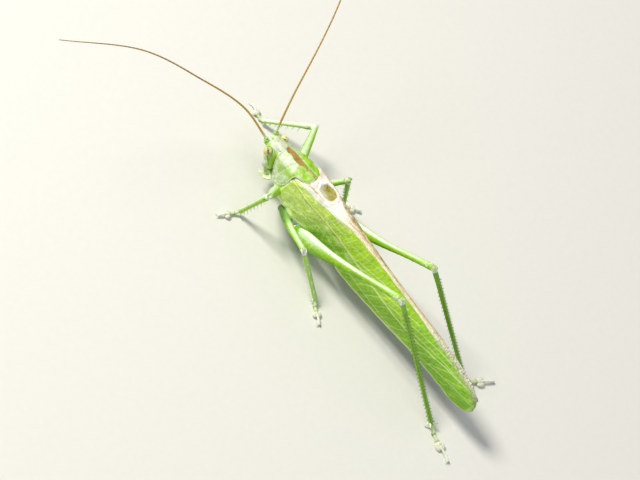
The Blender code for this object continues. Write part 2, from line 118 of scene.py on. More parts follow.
def route_through(points, count):
    """Points along a Catmull-Rom curve through the given ones, evenly in number."""
    points = np.array(points, float)
    ends = np.vstack((2 * points[0] - points[1], points, 2 * points[-1] - points[-2]))
    t = np.linspace(0, len(points) - 1, count)
    i = np.minimum(t.astype(int), len(points) - 2)
    s = (t - i)[:, None]
    a, b, c, d = ends[i], ends[i + 1], ends[i + 2], ends[i + 3]
    return 0.5 * (2 * b + (c - a) * s + (2 * a - 5 * b + 4 * c - d) * s**2
                  + (3 * b - a - 3 * c + d) * s**3)


def value_noise(points, size, seed):
    """Smooth noise from -1 to 1 with lumps of that size."""
    spots = np.asarray(points, float) / size + 512
    cell = np.floor(spots).astype(np.int64)
    part = ease(spots - cell)
    total = np.zeros(len(spots))
    for corner in np.ndindex(2, 2, 2):
        c = cell + corner
        mixed = (c[:, 0] * 73856093) ^ (c[:, 1] * 19349663) ^ (c[:, 2] * 83492791) ^ (seed * 7919)
        mixed = (mixed * 1103515245 + 12345) % 2147483648
        weight = np.prod(np.where(corner, part, 1 - part), axis=1)
        total += (mixed / 1073741824 - 1) * weight
    return total


def near_line(points, line):
    """Distance from each point to a polyline."""
    points, line = np.asarray(points, float), np.asarray(line, float)
    nearest = np.full(len(points), np.inf)
    lengths = np.linalg.norm(np.diff(line, axis=0), axis=1)
    for a, b, length in zip(line, line[1:], lengths):
        t = np.clip(((points - a) @ (b - a)) / length**2, 0, 1)
        gap = np.linalg.norm(points - a - t[:, None] * (b - a), axis=1)
        nearest = np.minimum(nearest, gap)
    return nearest


def from_point(points, spot):
    """Distance from each point to one spot."""
    return np.linalg.norm(points - spot, axis=1)


def normals_of(verts, faces):
    """Unit normals at the points of a mesh of quads."""
    a, b, c, d = (verts[faces[:, k]] for k in range(4))
    face_normal = np.cross(c - a, d - b)
    total = np.zeros_like(verts)
    for k in range(4):
        for axis in range(3):
            total[:, axis] += np.bincount(faces[:, k], face_normal[:, axis], len(verts))
    return total / np.maximum(np.linalg.norm(total, axis=1, keepdims=True), 1e-12)


def relax(verts, faces, rounds):
    """Smooths a mesh of quads, letting it shrink hardly at all."""
    pairs = np.vstack([faces[:, (k, (k + 1) % 4)] for k in range(4)])
    pairs = np.unique(np.sort(pairs, axis=1), axis=0)
    count = np.bincount(pairs.ravel(), minlength=len(verts))[:, None]
    for step in range(rounds * 2):
        total = np.zeros_like(verts)
        for axis in range(3):
            total[:, axis] = (np.bincount(pairs[:, 0], verts[pairs[:, 1], axis], len(verts))
                              + np.bincount(pairs[:, 1], verts[pairs[:, 0], axis], len(verts)))
        verts = verts + (total / count - verts) * (-0.52 if step % 2 else 0.5)
    return verts


def above_floor(verts):
    """The same points, none of them below z = 0."""
    verts[:, 2] = np.maximum(verts[:, 2], 0.0)
    return verts


def ring(centre, side, up, half_width, half_height, count, power=2.0):
    """Points on a superellipse round a centre."""
    angle = 2 * math.pi * (np.arange(count) + 0.5) / count
    c, s = np.cos(angle), np.sin(angle)
    across = np.sign(c) * np.abs(c) ** (2 / power) * half_width
    along = np.sign(s) * np.abs(s) ** (2 / power) * half_height
    return centre + np.outer(across, side) + np.outer(along, up)


def upright_ring(y, half, low, high, count, power=2.0):
    """A ring across the body at y, between two heights."""
    return ring(vec(0, y, (low + high) / 2), vec(1, 0, 0), UP, half, (high - low) / 2, count, power)


def link(name, data):
    """A new object in the scene."""
    made = bpy.data.objects.new(name, data)
    bpy.context.scene.collection.objects.link(made)
    return made


class Clay:
    """Closed shapes gathered into one lump, which is then given one skin."""

    def __init__(self):
        self.verts = []
        self.faces = []
        self.count = 0

    def loft(self, rings):
        """A closed shape through rings of as many points each."""
        n = len(rings[0])
        self.verts.extend(rings)
        for r in range(len(rings) - 1):
            base = self.count + r * n
            for i in range(n):
                j = (i + 1) % n
                self.faces.append((base + i, base + j, base + n + j, base + n + i))
        self.faces.append(tuple(self.count + i for i in reversed(range(n))))
        self.faces.append(tuple(self.count + (len(rings) - 1) * n + i for i in range(n)))
        self.count += n * len(rings)

    def ball(self, centre, radii, axes=np.eye(3), count=20):
        """An ellipsoid; axes are its three unit directions."""
        rings = []
        for t in np.linspace(-1, 1, count // 2 + 1)[1:-1]:
            angle = t * math.pi / 2
            middle = np.asarray(centre) + axes[2] * radii[2] * math.sin(angle)
            rings.append(ring(middle, axes[0], axes[1], radii[0] * math.cos(angle),
                              radii[1] * math.cos(angle), count))
        self.loft(rings)

    def tube(self, points, radii, count=14):
        """A round tube with rounded ends; radii are its half-widths at the points."""
        points = np.asarray(points, float)
        rings = []
        for k, (point, radius, along) in enumerate(zip(points, radii,
                                                       unit(np.gradient(points, axis=0)))):
            side = unit(np.cross(along, UP))
            over = np.cross(side, along)
            steps = [(0.0, 1.0)]                       # (how far beyond the point, ring size)
            if k == 0:
                steps = [(-0.75, 0.62), (-0.3, 0.95), (0.0, 1.0)]
            elif k == len(points) - 1:
                steps = [(0.0, 1.0), (0.3, 0.95), (0.75, 0.62)]
            rings += [ring(point + along * radius * out, side, over, radius * size,
                           radius * size, count) for out, size in steps]
        self.loft(rings)

    def skin(self, voxel, rounds=2):
        """One closed skin round everything, as points and quads."""
        mesh = bpy.data.meshes.new("clay")
        mesh.from_pydata(np.vstack(self.verts).tolist(), [], self.faces)
        lump = link("clay", mesh)
        remesh = lump.modifiers.new("skin", "REMESH")
        remesh.mode = "VOXEL"
        remesh.voxel_size = voxel
        graph = bpy.context.evaluated_depsgraph_get()
        made = lump.evaluated_get(graph).to_mesh()
        verts = np.empty(len(made.vertices) * 3)
        made.vertices.foreach_get("co", verts)
        faces = np.empty(len(made.loops), int)
        made.loops.foreach_get("vertex_index", faces)
        bpy.data.objects.remove(lump)
        bpy.data.meshes.remove(mesh)
        verts, faces = verts.reshape(-1, 3), faces.reshape(-1, 4)
        return relax(verts, faces, rounds), faces


def place(name, verts, faces, material, replaced, marks, plan=None):
    """A finished piece from points in mm; marks are its four masks and plan a UV map.

    Each mask is a number or one value a point.  Masks and plan may cover a plate's outer face
    alone: then its inner face repeats them.
    """
    mesh = bpy.data.meshes.new(name)
    world = (np.asarray(verts) + SHIFT) * MM
    mesh.from_pydata(world.tolist(), [], faces.tolist() if hasattr(faces, "tolist") else faces)
    mesh.materials.append(material)
    mesh.shade_smooth()
    masks = np.stack(np.broadcast_arrays(*marks), axis=1)
    masks = np.tile(masks, (len(world) // len(masks), 1))
    layer = mesh.attributes.new("marks", "FLOAT_COLOR", "POINT")
    layer.data.foreach_set("color", np.clip(masks, 0, 1).ravel())
    if plan is not None:
        plan = np.tile(plan, (len(world) // len(plan), 1))
        layer = mesh.uv_layers.new(name="plan")
        corner = np.empty(len(mesh.loops), int)
        mesh.loops.foreach_get("vertex_index", corner)
        layer.data.foreach_set("uv", plan[corner].ravel())
    made = link(name, mesh)
    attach(made, "root")
    if replaced:
        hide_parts(*replaced)


def grid_faces(rows, columns, closed=False):
    """Quads of a grid of points; closed joins the last column to the first."""
    index = np.arange(rows * columns).reshape(rows, columns)
    right = np.roll(index, -1, axis=1)
    if not closed:
        index, right = index[:, :-1], right[:, :-1]
    return np.stack((index[:-1], right[:-1], right[1:], index[1:]), axis=-1).reshape(-1, 4)


def smooth_across(grid, rounds):
    """Evens out a grid of points along its rows."""
    for _ in range(rounds):
        grid[:, 1:-1] = (grid[:, :-2] + 2 * grid[:, 1:-1] + grid[:, 2:]) / 4
    return grid


def plate(grid, thickness):
    """A closed sheet of that thickness on the inner side of a (rows, columns, 3) grid."""
    rows, columns = grid.shape[:2]
    outer = grid.reshape(-1, 3)
    faces = grid_faces(rows, columns)
    inner = outer - normals_of(outer, faces) * thickness
    index = np.arange(rows * columns).reshape(rows, columns)
    edge = np.concatenate((index[0, :-1], index[:-1, -1], index[-1, :0:-1], index[:0:-1, 0]))
    after = np.roll(edge, -1)
    n = len(outer)
    rim = np.stack((after, edge, edge + n, after + n), axis=1)
    return np.vstack((outer, inner)), np.vstack((faces, faces[:, ::-1] + n, rim))


# ---------------------------------------------------------------- materials

def colour(r, g, b):
    return (r, g, b, 1.0)


class Nodes:
    """Short ways to add and join shader nodes."""

    def __init__(self, name):
        self.material = bpy.data.materials.new(name)
        self.material.use_nodes = True
        self.tree = self.material.node_tree
        self.shader = self.tree.nodes["Principled BSDF"]

    def put(self, value, socket):
        """Links a socket to the one given, or sets it to the number given."""
        if isinstance(value, bpy.types.NodeSocket):
            self.tree.links.new(value, socket)
        else:
            socket.default_value = value

    def add(self, kind, inputs=(), **settings):
        node = self.tree.nodes.new(kind)
        for key, value in settings.items():
            setattr(node, key, value)
        for key, value in dict(inputs).items():
            self.put(value, node.inputs[key])
        return node

    def math(self, operation, a, b, clamp=False):
        return self.add("ShaderNodeMath", {0: a, 1: b}, operation=operation,
                        use_clamp=clamp).outputs[0]

    def times(self, a, b):
        return self.math("MULTIPLY", a, b)

    def mix(self, share, a, b):
        return self.add("ShaderNodeMix", {"Factor": share, "A": a, "B": b},
                        data_type="RGBA").outputs["Result"]

    def over(self, tint, *layers):
        """Colours laid over a first one in turn, as (share, colour) pairs."""
        for share, layer in layers:
            tint = self.mix(share, tint, layer)
        return tint

    def place(self):
        return self.add("ShaderNodeTexCoord").outputs["Object"]

    def stretch(self, where, scale):
        return self.add("ShaderNodeMapping", {"Vector": where, "Scale": scale}).outputs[0]

    def noise(self, scale, detail=3.0, rough=0.55, where=None):
        return self.add("ShaderNodeTexNoise", {
            "Vector": where or self.place(), "Scale": scale, "Detail": detail,
            "Roughness": rough}).outputs["Fac"]

    def cells(self, scale, feature="F1", where=None):
        return self.add("ShaderNodeTexVoronoi", {"Vector": where or self.place(), "Scale": scale},
                        feature=feature).outputs["Distance"]

    def span(self, value, low, high, to_low=0.0, to_high=1.0):
        """Goes smoothly from one number to another as a value goes from low to high."""
        return self.add("ShaderNodeMapRange", {
            "Value": value, "From Min": low, "From Max": high, "To Min": to_low,
            "To Max": to_high}, interpolation_type="SMOOTHSTEP").outputs["Result"]

    def marks(self):
        node = self.add("ShaderNodeAttribute", attribute_name="marks")
        parts = self.add("ShaderNodeSeparateColor", {0: node.outputs["Color"]})
        return (*parts.outputs, node.outputs["Alpha"])

    def bump(self, height, distance):
        node = self.add("ShaderNodeBump", {"Distance": distance, "Strength": 1.0,
                                           "Height": height})
        self.put(node.outputs[0], self.shader.inputs["Normal"])

    def finish(self, base, roughness, coat=0.0, flesh=0.0, specular=0.5):
        for key, value in (("Base Color", base), ("Roughness", roughness), ("Coat Weight", coat),
                           ("Coat Roughness", 0.25), ("Subsurface Weight", flesh),
                           ("Subsurface Radius", (0.5, 0.8, 0.2)), ("Subsurface Scale", 0.0005),
                           ("Specular IOR Level", specular)):
            self.put(value, self.shader.inputs[key])
        return self.material


WHITE = colour(0.84, 0.88, 0.66)
BROWN = colour(0.36, 0.15, 0.05)
DARK = colour(0.035, 0.03, 0.012)


def cuticle(name, green, deep, pale=WHITE, third=BROWN, dark=DARK, rough=0.42, coat=0.06,
            pits=9000.0, pit_depth=0.00003, fleck=0.22, specular=0.3):
    """Living cuticle: two greens, then pale, tinted and dark marks over them."""
    n = Nodes(name)
    pale_mark, third_mark, dark_mark, deep_mark = n.marks()
    broad = n.noise(1400.0, 4.0)
    fine = n.noise(pits, 2.0, 0.6)
    pores = n.cells(pits * 0.7)
    tint = n.over(
        green,
        (n.math("ADD", n.span(broad, 0.4, 0.75, 0.0, 0.6), deep_mark, clamp=True), deep),
        (n.times(pale_mark, n.span(broad, 0.25, 0.6, 0.75, 1.0)), pale),
        (n.times(third_mark, n.span(fine, 0.3, 0.7, 0.75, 1.0)), third),
        (n.span(pores, 0.05, 0.45, fleck, 0.0), deep),
        (dark_mark, dark))
    n.bump(n.math("ADD", n.times(fine, 0.5), n.span(pores, 0.0, 0.35)), pit_depth)
    return n.finish(tint, n.span(fine, 0.3, 0.7, rough - 0.07, rough + 0.1), coat, 0.05, specular)


# ---------------------------------------------------------------- forewings

# By y: how high a folded wing's top and hem are, and how far from the midline its ridge and
# its hem lie.  Near the tip the right wing's ridge, and the left one's lap over it, differ.
WING_TOP = ((-2.0, 11.3), (2.0, 11.45), (8.0, 11.75), (16.0, 11.6), (26.0, 11.2), (36.0, 10.85),
            (41.0, 10.2))
WING_RIDGE = ((-2.0, 2.45), (2.0, 2.25), (6.0, 1.6), (12.0, 0.95), (20.0, 0.55), (30.0, 0.55),
              (36.0, 0.7), (41.0, 1.0), (46.0, 1.2))
RIGHT_RIDGE_TIP = ((30.0, 0.55), (38.0, 0.5), (43.0, 0.35), (46.0, 0.3))
LEFT_LAP_TIP = ((34.0, 0.6), (39.0, 0.5), (42.5, 0.25), (44.4, -0.15), (46.0, -0.7))
WING_HEM_X = ((-2.0, 2.9), (1.0, 3.05), (3.5, 3.0), (6.0, 2.4), (9.0, 2.2), (14.0, 2.4),
              (24.0, 2.2), (32.0, 1.9), (39.0, 1.5), (46.0, 1.3))
WING_HEM_Z = ((-2.0, 4.8), (1.0, 4.05), (3.5, 3.75), (6.0, 4.1), (9.0, 4.3), (14.0, 3.5),
              (24.0, 4.2), (32.0, 5.0), (39.0, 4.85), (42.0, 4.55))
WING_TIP = 45.7           # y that the top and the hem meet at
WING_TIP_MIDDLE = 7.3     # height that they meet at
WING_NARROWS = 40.0       # y from which they close in on each other
WING_FIRST = -1.4         # y of the first row, under the pronotum
WING_TURN = 42.0          # y from which the rows crowd towards the tip
WING_ENDS = {1: 45.68, -1: 45.1}           # y of the last row of the left and the right wing
WING_SHEET = 0.16         # thickness of the visible wing
WING_ROWS = 600
TURN_ROWS = 60
BACK_COLUMNS = 22
SIDE_COLUMNS = 104
SIDE_DEPTH = 7.0          # mm that v = 1 stands for in the plan of the side

# Veins of the side, as (y, share of the way from the shoulder to the hem).
STEM_VEIN = ((-1.5, 0.13), (0.3, 0.162), (2.5, 0.223), (4.6, 0.276), (7.6, 0.346), (12.5, 0.382),
             (16.0, 0.41), (20.0, 0.46), (25.0, 0.52), (29.0, 0.53), (31.2, 0.504), (35.0, 0.367),
             (38.1, 0.2), (41.0, 0.08))
LOWER_VEIN = ((-1.5, 0.4), (0.3, 0.45), (4.0, 0.56), (9.0, 0.66), (15.0, 0.74), (21.0, 0.82),
              (27.0, 0.92), (30.5, 0.94), (33.5, 0.85), (37.1, 0.64), (40.4, 0.46), (43.5, 0.3),
              (45.0, 0.2))
UPPER_VEIN = ((-1.0, 0.05), (1.0, 0.09), (5.0, 0.15), (10.0, 0.19), (13.0, 0.17), (16.0, 0.1),
              (18.5, 0.03))
BRANCH_STARTS = (12.6, 15.2, 18.4, 22.4, 27.0)
BRANCH_DROP = ((0.0, 0.0), (3.0, 0.1), (7.0, 0.2), (11.0, 0.3), (16.0, 0.42))
# Cross-veins, as (where they are, slant, spacing, width, strength).
CROSS_VEINS = (("above, front", 0.4, 0.62, 0.05, 0.6), ("above, rear", 0.5, 0.8, 0.055, 0.5),
               ("middle, rear", 0.15, 2.5, 0.07, 0.9), ("middle", 0.15, 0.83, 0.05, 0.35),
               ("low", 0.13, 1.25, 0.055, 0.45))
WING_KNOBS = ((1.0, 0.87, 0.5), (1.65, 0.92, 0.45), (2.75, 0.97, 0.55))    # (y, share down, size)

# The mirror, in (x, y) over the back, and the slit in front of it.
MIRROR_CENTRE = (-0.42, 2.95)
MIRROR_SIZE = (1.28, 1.6)
MIRROR_SPOTS = ((-1.3, 3.75), (-1.25, 4.1), (-1.05, 4.4))
MIRROR_SLIT = ((1.65, 0.3), (1.45, 1.1), (1.4, 1.9))
# Where the strip's brown and its white end, as (y, share of the way out to the shoulder).
BROWN_EDGE = ((0, -0.85), (5, -0.75), (8.5, -0.25), (14, -0.28), (20, -0.45), (30, -0.5))
WHITE_EDGE = ((6, 1.3), (9, 0.85), (14, 0.62), (20, 0.6), (28, 0.75), (34, 1.15))


def wing_levels(y, side):
    """Heights of a wing's top and hem, and their distances from the midline."""
    top, hem = curve_at(WING_TOP, y), curve_at(WING_HEM_Z, y)
    reach = np.clip((y - WING_NARROWS) / (WING_TIP - WING_NARROWS), 0, 1)
    share = np.sqrt(np.maximum(1 - reach**2.4, 0.0))
    top = WING_TIP_MIDDLE + (top - WING_TIP_MIDDLE) * share
    hem = WING_TIP_MIDDLE + (hem - WING_TIP_MIDDLE) * share
    ridge = curve_at(WING_RIDGE, y)
    if side < 0:
        ridge = np.where(y > RIGHT_RIDGE_TIP[0][0], curve_at(RIGHT_RIDGE_TIP, y), ridge)
    return top, hem, ridge, curve_at(WING_HEM_X, y)


def wing_grid(side):
    """The outer face of a folded wing, with each point's y, place down the side and x."""
    straight = np.linspace(WING_FIRST, WING_TURN, WING_ROWS - TURN_ROWS)
    turn = np.sin(np.linspace(0, 1, TURN_ROWS + 1)[1:] * math.pi / 2)
    stations = np.concatenate((straight, WING_TURN + (WING_ENDS[side] - WING_TURN) * turn))
    place_down = np.concatenate((np.linspace(-1, 0, BACK_COLUMNS, endpoint=False),
                                 np.linspace(0, 1, SIDE_COLUMNS)))
    y, p = np.meshgrid(stations, place_down, indexing="ij")
    top, hem, ridge, flare = wing_levels(y, side)
    if side > 0:                              # the left wing lies over the right one
        near_tip = np.minimum(ridge + 0.05, curve_at(LEFT_LAP_TIP, y))
        overlap = np.where(y > LEFT_LAP_TIP[0][0], near_tip, ridge + 0.05)
        drop = 0.0
    else:
        overlap = np.maximum(np.minimum(ridge - 0.9, 1.2), -0.1)
        drop = 0.34 + 0.4 * between(30.0, 38.0, y) - 0.3 * between(43.0, 45.6, y)
    top = top - drop - 0.3 * (1 - between(-1.8, -0.6, y))    # the base dips under the pronotum
    back, down = np.clip(-p, 0, 1), np.clip(p, 0, 1)
    x_back = ridge - (ridge + overlap) * back
    bulge = 0.35 * np.sin(math.pi * down**0.7) * np.minimum((top - hem) / 6, 1)
    x = np.where(p < 0, x_back, ridge + (flare - ridge) * down**0.75 + bulge)
    z = np.where(p < 0, top - 0.08 * (x_back / np.maximum(ridge, 0.6)) ** 2,
                 top - 0.08 + (hem - top + 0.08) * down)
    real_y = y - 2.6 * between(-0.16, 0.3, p) * (1 - between(0.3, 5.3, y))
    under = between(-2.2, -3.0, real_y)
    x = x - 0.55 * under - 0.2 * between(0.6, -2.0, real_y) * bell(p, 0.3)
    z = z - 0.6 * between(0.6, -2.4, real_y) * bell(p, 0.3)
    grid = smooth_across(np.stack((side * x, real_y, z), axis=-1), 2)
    return grid, y.ravel(), p.ravel(), x_back.ravel()


def wing_lines(y, v):
    """How strongly each place on the side is a main vein, a branch or a cross-vein."""
    spots = np.stack((y, v * SIDE_DEPTH), axis=1)

    def line(points, width):
        return bell(near_line(spots, [(a, b * SIDE_DEPTH) for a, b in points]), width)

    stem, lower = curve_at(STEM_VEIN, y), curve_at(LOWER_VEIN, y)
    main = strongest(line(STEM_VEIN, 0.085), 0.7 * line(LOWER_VEIN, 0.065))
    branches = [0.4 * line(UPPER_VEIN, 0.06)]
    for start in BRANCH_STARTS:
        foot = curve_at(STEM_VEIN, start)
        steep = 1 + (start - 12) * 0.02
        branches.append(line([(start + d, foot - drop * steep) for d, drop in BRANCH_DROP
                              if foot - drop * steep > -0.02], 0.05))

    solid = np.stack((y, v * SIDE_DEPTH, np.zeros_like(y)), axis=1)
    wobble = 0.28 * value_noise(solid, 1.1, 53) + 0.12 * value_noise(solid, 0.5, 54)
    above, middle, rear = v < stem, (v > stem) & (v < lower), y > 13
    fields = {"above, front": above & ~rear, "above, rear": above & rear,
              "middle, rear": middle & rear, "middle": middle, "low": v >= lower}
    rungs = []
    for field, slant, spacing, width, strength in CROSS_VEINS:
        phase = (y + v / slant + wobble) / spacing
        away = np.abs(phase - np.round(phase)) * spacing * min(1.0, slant * SIDE_DEPTH)
        rungs.append(strength * bell(away, width) * fields[field])
    return main, strongest(*branches), strongest(*rungs)


def wing_places(side):
    """Each point of a wing's outer face: where it lies, and what it is part of."""
    grid, y, p, x = wing_grid(side)
    down = np.clip(p, 0, 1)
    on_side, over_back = between(-0.02, 0.02, p), between(0.04, -0.02, p)
    main, branch, cross = (part * on_side for part in wing_lines(y, down))
    flat = np.stack((y, down * SIDE_DEPTH, x), axis=1)
    wander = value_noise(flat, 0.7, 51)
    across = x if side > 0 else -x
    from_mirror = np.abs(across - MIRROR_CENTRE[0]), np.abs(y - MIRROR_CENTRE[1])
    reach = sum((gap / size) ** 2.5 for gap, size in zip(from_mirror, MIRROR_SIZE)) ** 0.4
    lit_side = 0.35 + 0.65 * between(0.3, -0.5, across + 0.45 * (y - 3) + 0.3 * wander)
    return SimpleNamespace(
        side=side, grid=grid, y=y, p=p, x=x, down=down, across=across, flat=flat,
        on_side=on_side, over_back=over_back, main=main, branch=branch, cross=cross,
        wander=wander, blotch=value_noise(flat * (0.35, 1, 1), 0.45, 52),
        crumb=value_noise(flat, 0.22, 55), reach=reach,
        mirror=over_back * between(1.0, 0.9, reach),
        frame=over_back * bell(reach - 1.16 + 0.06 * wander, 0.13) * (y < 6) * lit_side,
        ribs=over_back * (y < 6) * bell(np.abs((across * 0.8 + y) % 1.3 - 0.65), 0.08),
        knobs=strongest(*(bell(np.hypot(y - at, (down - low) * SIDE_DEPTH), size)
                          for at, low, size in WING_KNOBS)))


def wing_relief(wing):
    """How far each point of a wing stands out: veins, frame, ribs and knobs, in mm."""
    shoulder = bell(wing.p - 0.004, 0.016)
    relief = (0.06 * wing.main + 0.04 * wing.branch + 0.03 * wing.cross + 0.12 * wing.frame
              + 0.1 * shoulder)
    relief = (relief + 0.05 * wing.ribs * (1 - wing.mirror) - 0.06 * wing.mirror
              + 0.42 * wing.knobs * wing.on_side)
    return (relief + 0.03 * np.sin(wing.y * 2.1 + wing.down * 9) * wing.on_side
            + 0.06 * wing.wander * between(9, 3, wing.y))


def strip_marks(wing):
    """Cream and brown of the strip over the back, with ragged borders."""
    y = wing.y
    inner = wing.across / np.maximum(curve_at(WING_RIDGE, y), 0.5)      # 1 at the shoulder
    from_brown = inner - curve_at(BROWN_EDGE, y) + 0.2 * wing.blotch
    from_white = inner - curve_at(WHITE_EDGE, y) + 0.12 * wing.blotch
    fibres = value_noise(wing.flat * (0.12, 1, 1), 0.16, 56)
    broken = between(-0.3, 0.1, value_noise(wing.flat, 0.5, 57))
    tip = between(31.0, 37.0, y)
    # a painted glint along the strip's outer edge near the tip
    edge_glint = tip * between(-0.6, -0.78, wing.p)
    outline = strongest(0.75 * bell(wing.reach - 1.4, 0.07) * broken + 0.45 * wing.ribs,
                        0.55 * bell(wing.reach - 1.72, 0.08) * between(0.1, -0.2, wing.wander))
    tan = (between(5.2, 4.2, y) * between(0.0, 0.5, inner)
           * between(0.0, 0.5, wing.wander + 0.4 * wing.crumb))
    brown = strongest(
        between(0.1, -0.15, from_brown) * (0.5 + 0.42 * between(-0.2, 0.2, fibres)),
        0.85 * between(-0.8, -0.88, inner) * between(3, 7, y),
        0.9 * bell(from_brown - 0.22 + 0.08 * fibres, 0.08) * between(7.5, 11, y),
        0.6 * bell(from_white, 0.07) * between(6, 8, y) * between(33, 28, y),
        outline * between(6.0, 4.5, y) * (1 - wing.frame),
        0.45 * tan * (wing.reach > 1.2))
    speckled = between(0.0, 0.4, wing.crumb) * (0.3 if wing.side > 0 else 0.15)
    base_blotch = between(0.1, 0.5, wing.blotch) * between(2.2, 0.8, y)
    brown = strongest(brown * (1 - 0.6 * tip), 0.5 * base_blotch, tip * speckled)
    cream = strongest(
        wing.over_back * between(0.12, -0.05, from_white),
        0.95 * bell(wing.p, 0.02 + 0.016 * between(6, 2, y)) * between(11, 7, y),
        0.75 * bell(wing.down - 0.965 + 0.03 * wing.wander, 0.035) * between(-1.5, 1.0, y)
        * between(6.0, 4.0, y))
    cream = strongest(cream * (1 - 0.5 * tip * between(0.1, 0.5, inner + 0.4 * wing.crumb)),
                      wing.over_back * edge_glint)
    return cream, wing.over_back * brown * (1 - edge_glint)


def mirror_lines(wing):
    """Brown strings across the mirror, its outline and the spots beside it."""
    back = wing.over_back
    strings = (bell(np.abs((wing.across - 0.6 * wing.y) % 0.8 - 0.4), 0.06)
               + bell(wing.across + 0.7 * wing.y - 1.4, 0.07))
    spots = (bell(np.hypot(wing.across - x, wing.y - y), 0.13) for x, y in MIRROR_SPOTS)
    return strongest(0.6 * strings * wing.mirror + 0.6 * back * bell(wing.reach - 1.0, 0.035),
                     0.5 * back * bell(wing.reach - 0.92, 0.16) * between(3.5, 4.3, wing.y),
                     *(spot * back for spot in spots))


def wing_marks(wing):
    """Cream, brown, olive and light green of a wing."""
    y, down = wing.y, wing.down
    stem = curve_at(STEM_VEIN, y)
    end_fade = between(45.5, 44.6, y)
    near_base = between(24, 8, y) * between(0.5, 0.42, down)
    slit = bell(near_line(np.stack((wing.across, y), axis=1), MIRROR_SLIT), 0.13)
    cream, brown = strip_marks(wing)
    brown = strongest(brown, 0.95 * bell(wing.main - 1, 0.5) * near_base)
    brown = brown * (1 - wing.frame) * (1 - slit) * end_fade * (1 - wing.mirror)
    # a painted sheen in a band just below the stem vein, laid into the cream
    sheen_band = bell(down - stem - 0.08, 0.055) * between(4, 6, y) * between(20, 12, y)
    painted_sheen = sheen_band * between(-0.3, 0.3, wing.wander + wing.blotch + 0.6 * wing.crumb) * wing.on_side
    lit_end = between(-0.5, 0.9, wing.across - 0.5 * (y - 2.9) + 0.25 * wing.crumb)
    # a painted highlight on the side of the wing near its base
    base_highlight = bell(np.hypot((y + 1.4) / 2.4, (down - 0.3) / 0.22), 1) * between(-0.4, 0.5, wing.wander)
    grains = between(-0.1, 0.35, wing.crumb) * between(9, 4, y) * between(0.15, 0.3, down)
    light = strongest(
        np.clip(wing.main * (1 - near_base) + 0.95 * wing.branch + 0.75 * wing.cross, 0, 1),
        0.6 * bell(down - stem + 0.025, 0.018) * between(30, 12, y),
        0.9 * bell(down - 0.98, 0.022) * between(5, 9, y),
        0.5 * between(0.8, 0.6, WING_ENDS[wing.side] - y),
        wing.knobs,
        0.65 * base_highlight,
        (0.35 + 0.25 * between(0.5, 0.9, down)) * grains)
    return (strongest(cream * end_fade, 0.45 * painted_sheen), strongest(brown, mirror_lines(wing)),
            strongest(wing.mirror * (1 - 0.4 * lit_end), wing.over_back * slit),
            light * wing.on_side)


def forewing(side, word, material):
    """One leathery forewing with its veins standing out of it."""
    wing = wing_places(side)
    faces = grid_faces(*wing.grid.shape[:2])
    outer = wing.grid.reshape(-1, 3)
    outer = outer + normals_of(outer, faces) * (wing_relief(wing) * side)[:, None]
    verts, faces = plate(outer.reshape(wing.grid.shape), WING_SHEET * side)
    plan = np.stack((np.where(wing.p < 0, wing.x - 20, wing.down * SIDE_DEPTH), wing.y), axis=1)
    place(f"wing_{word}", verts, faces, material, (f"forewing_{word}",),
          wing_marks(wing), plan * 0.01)


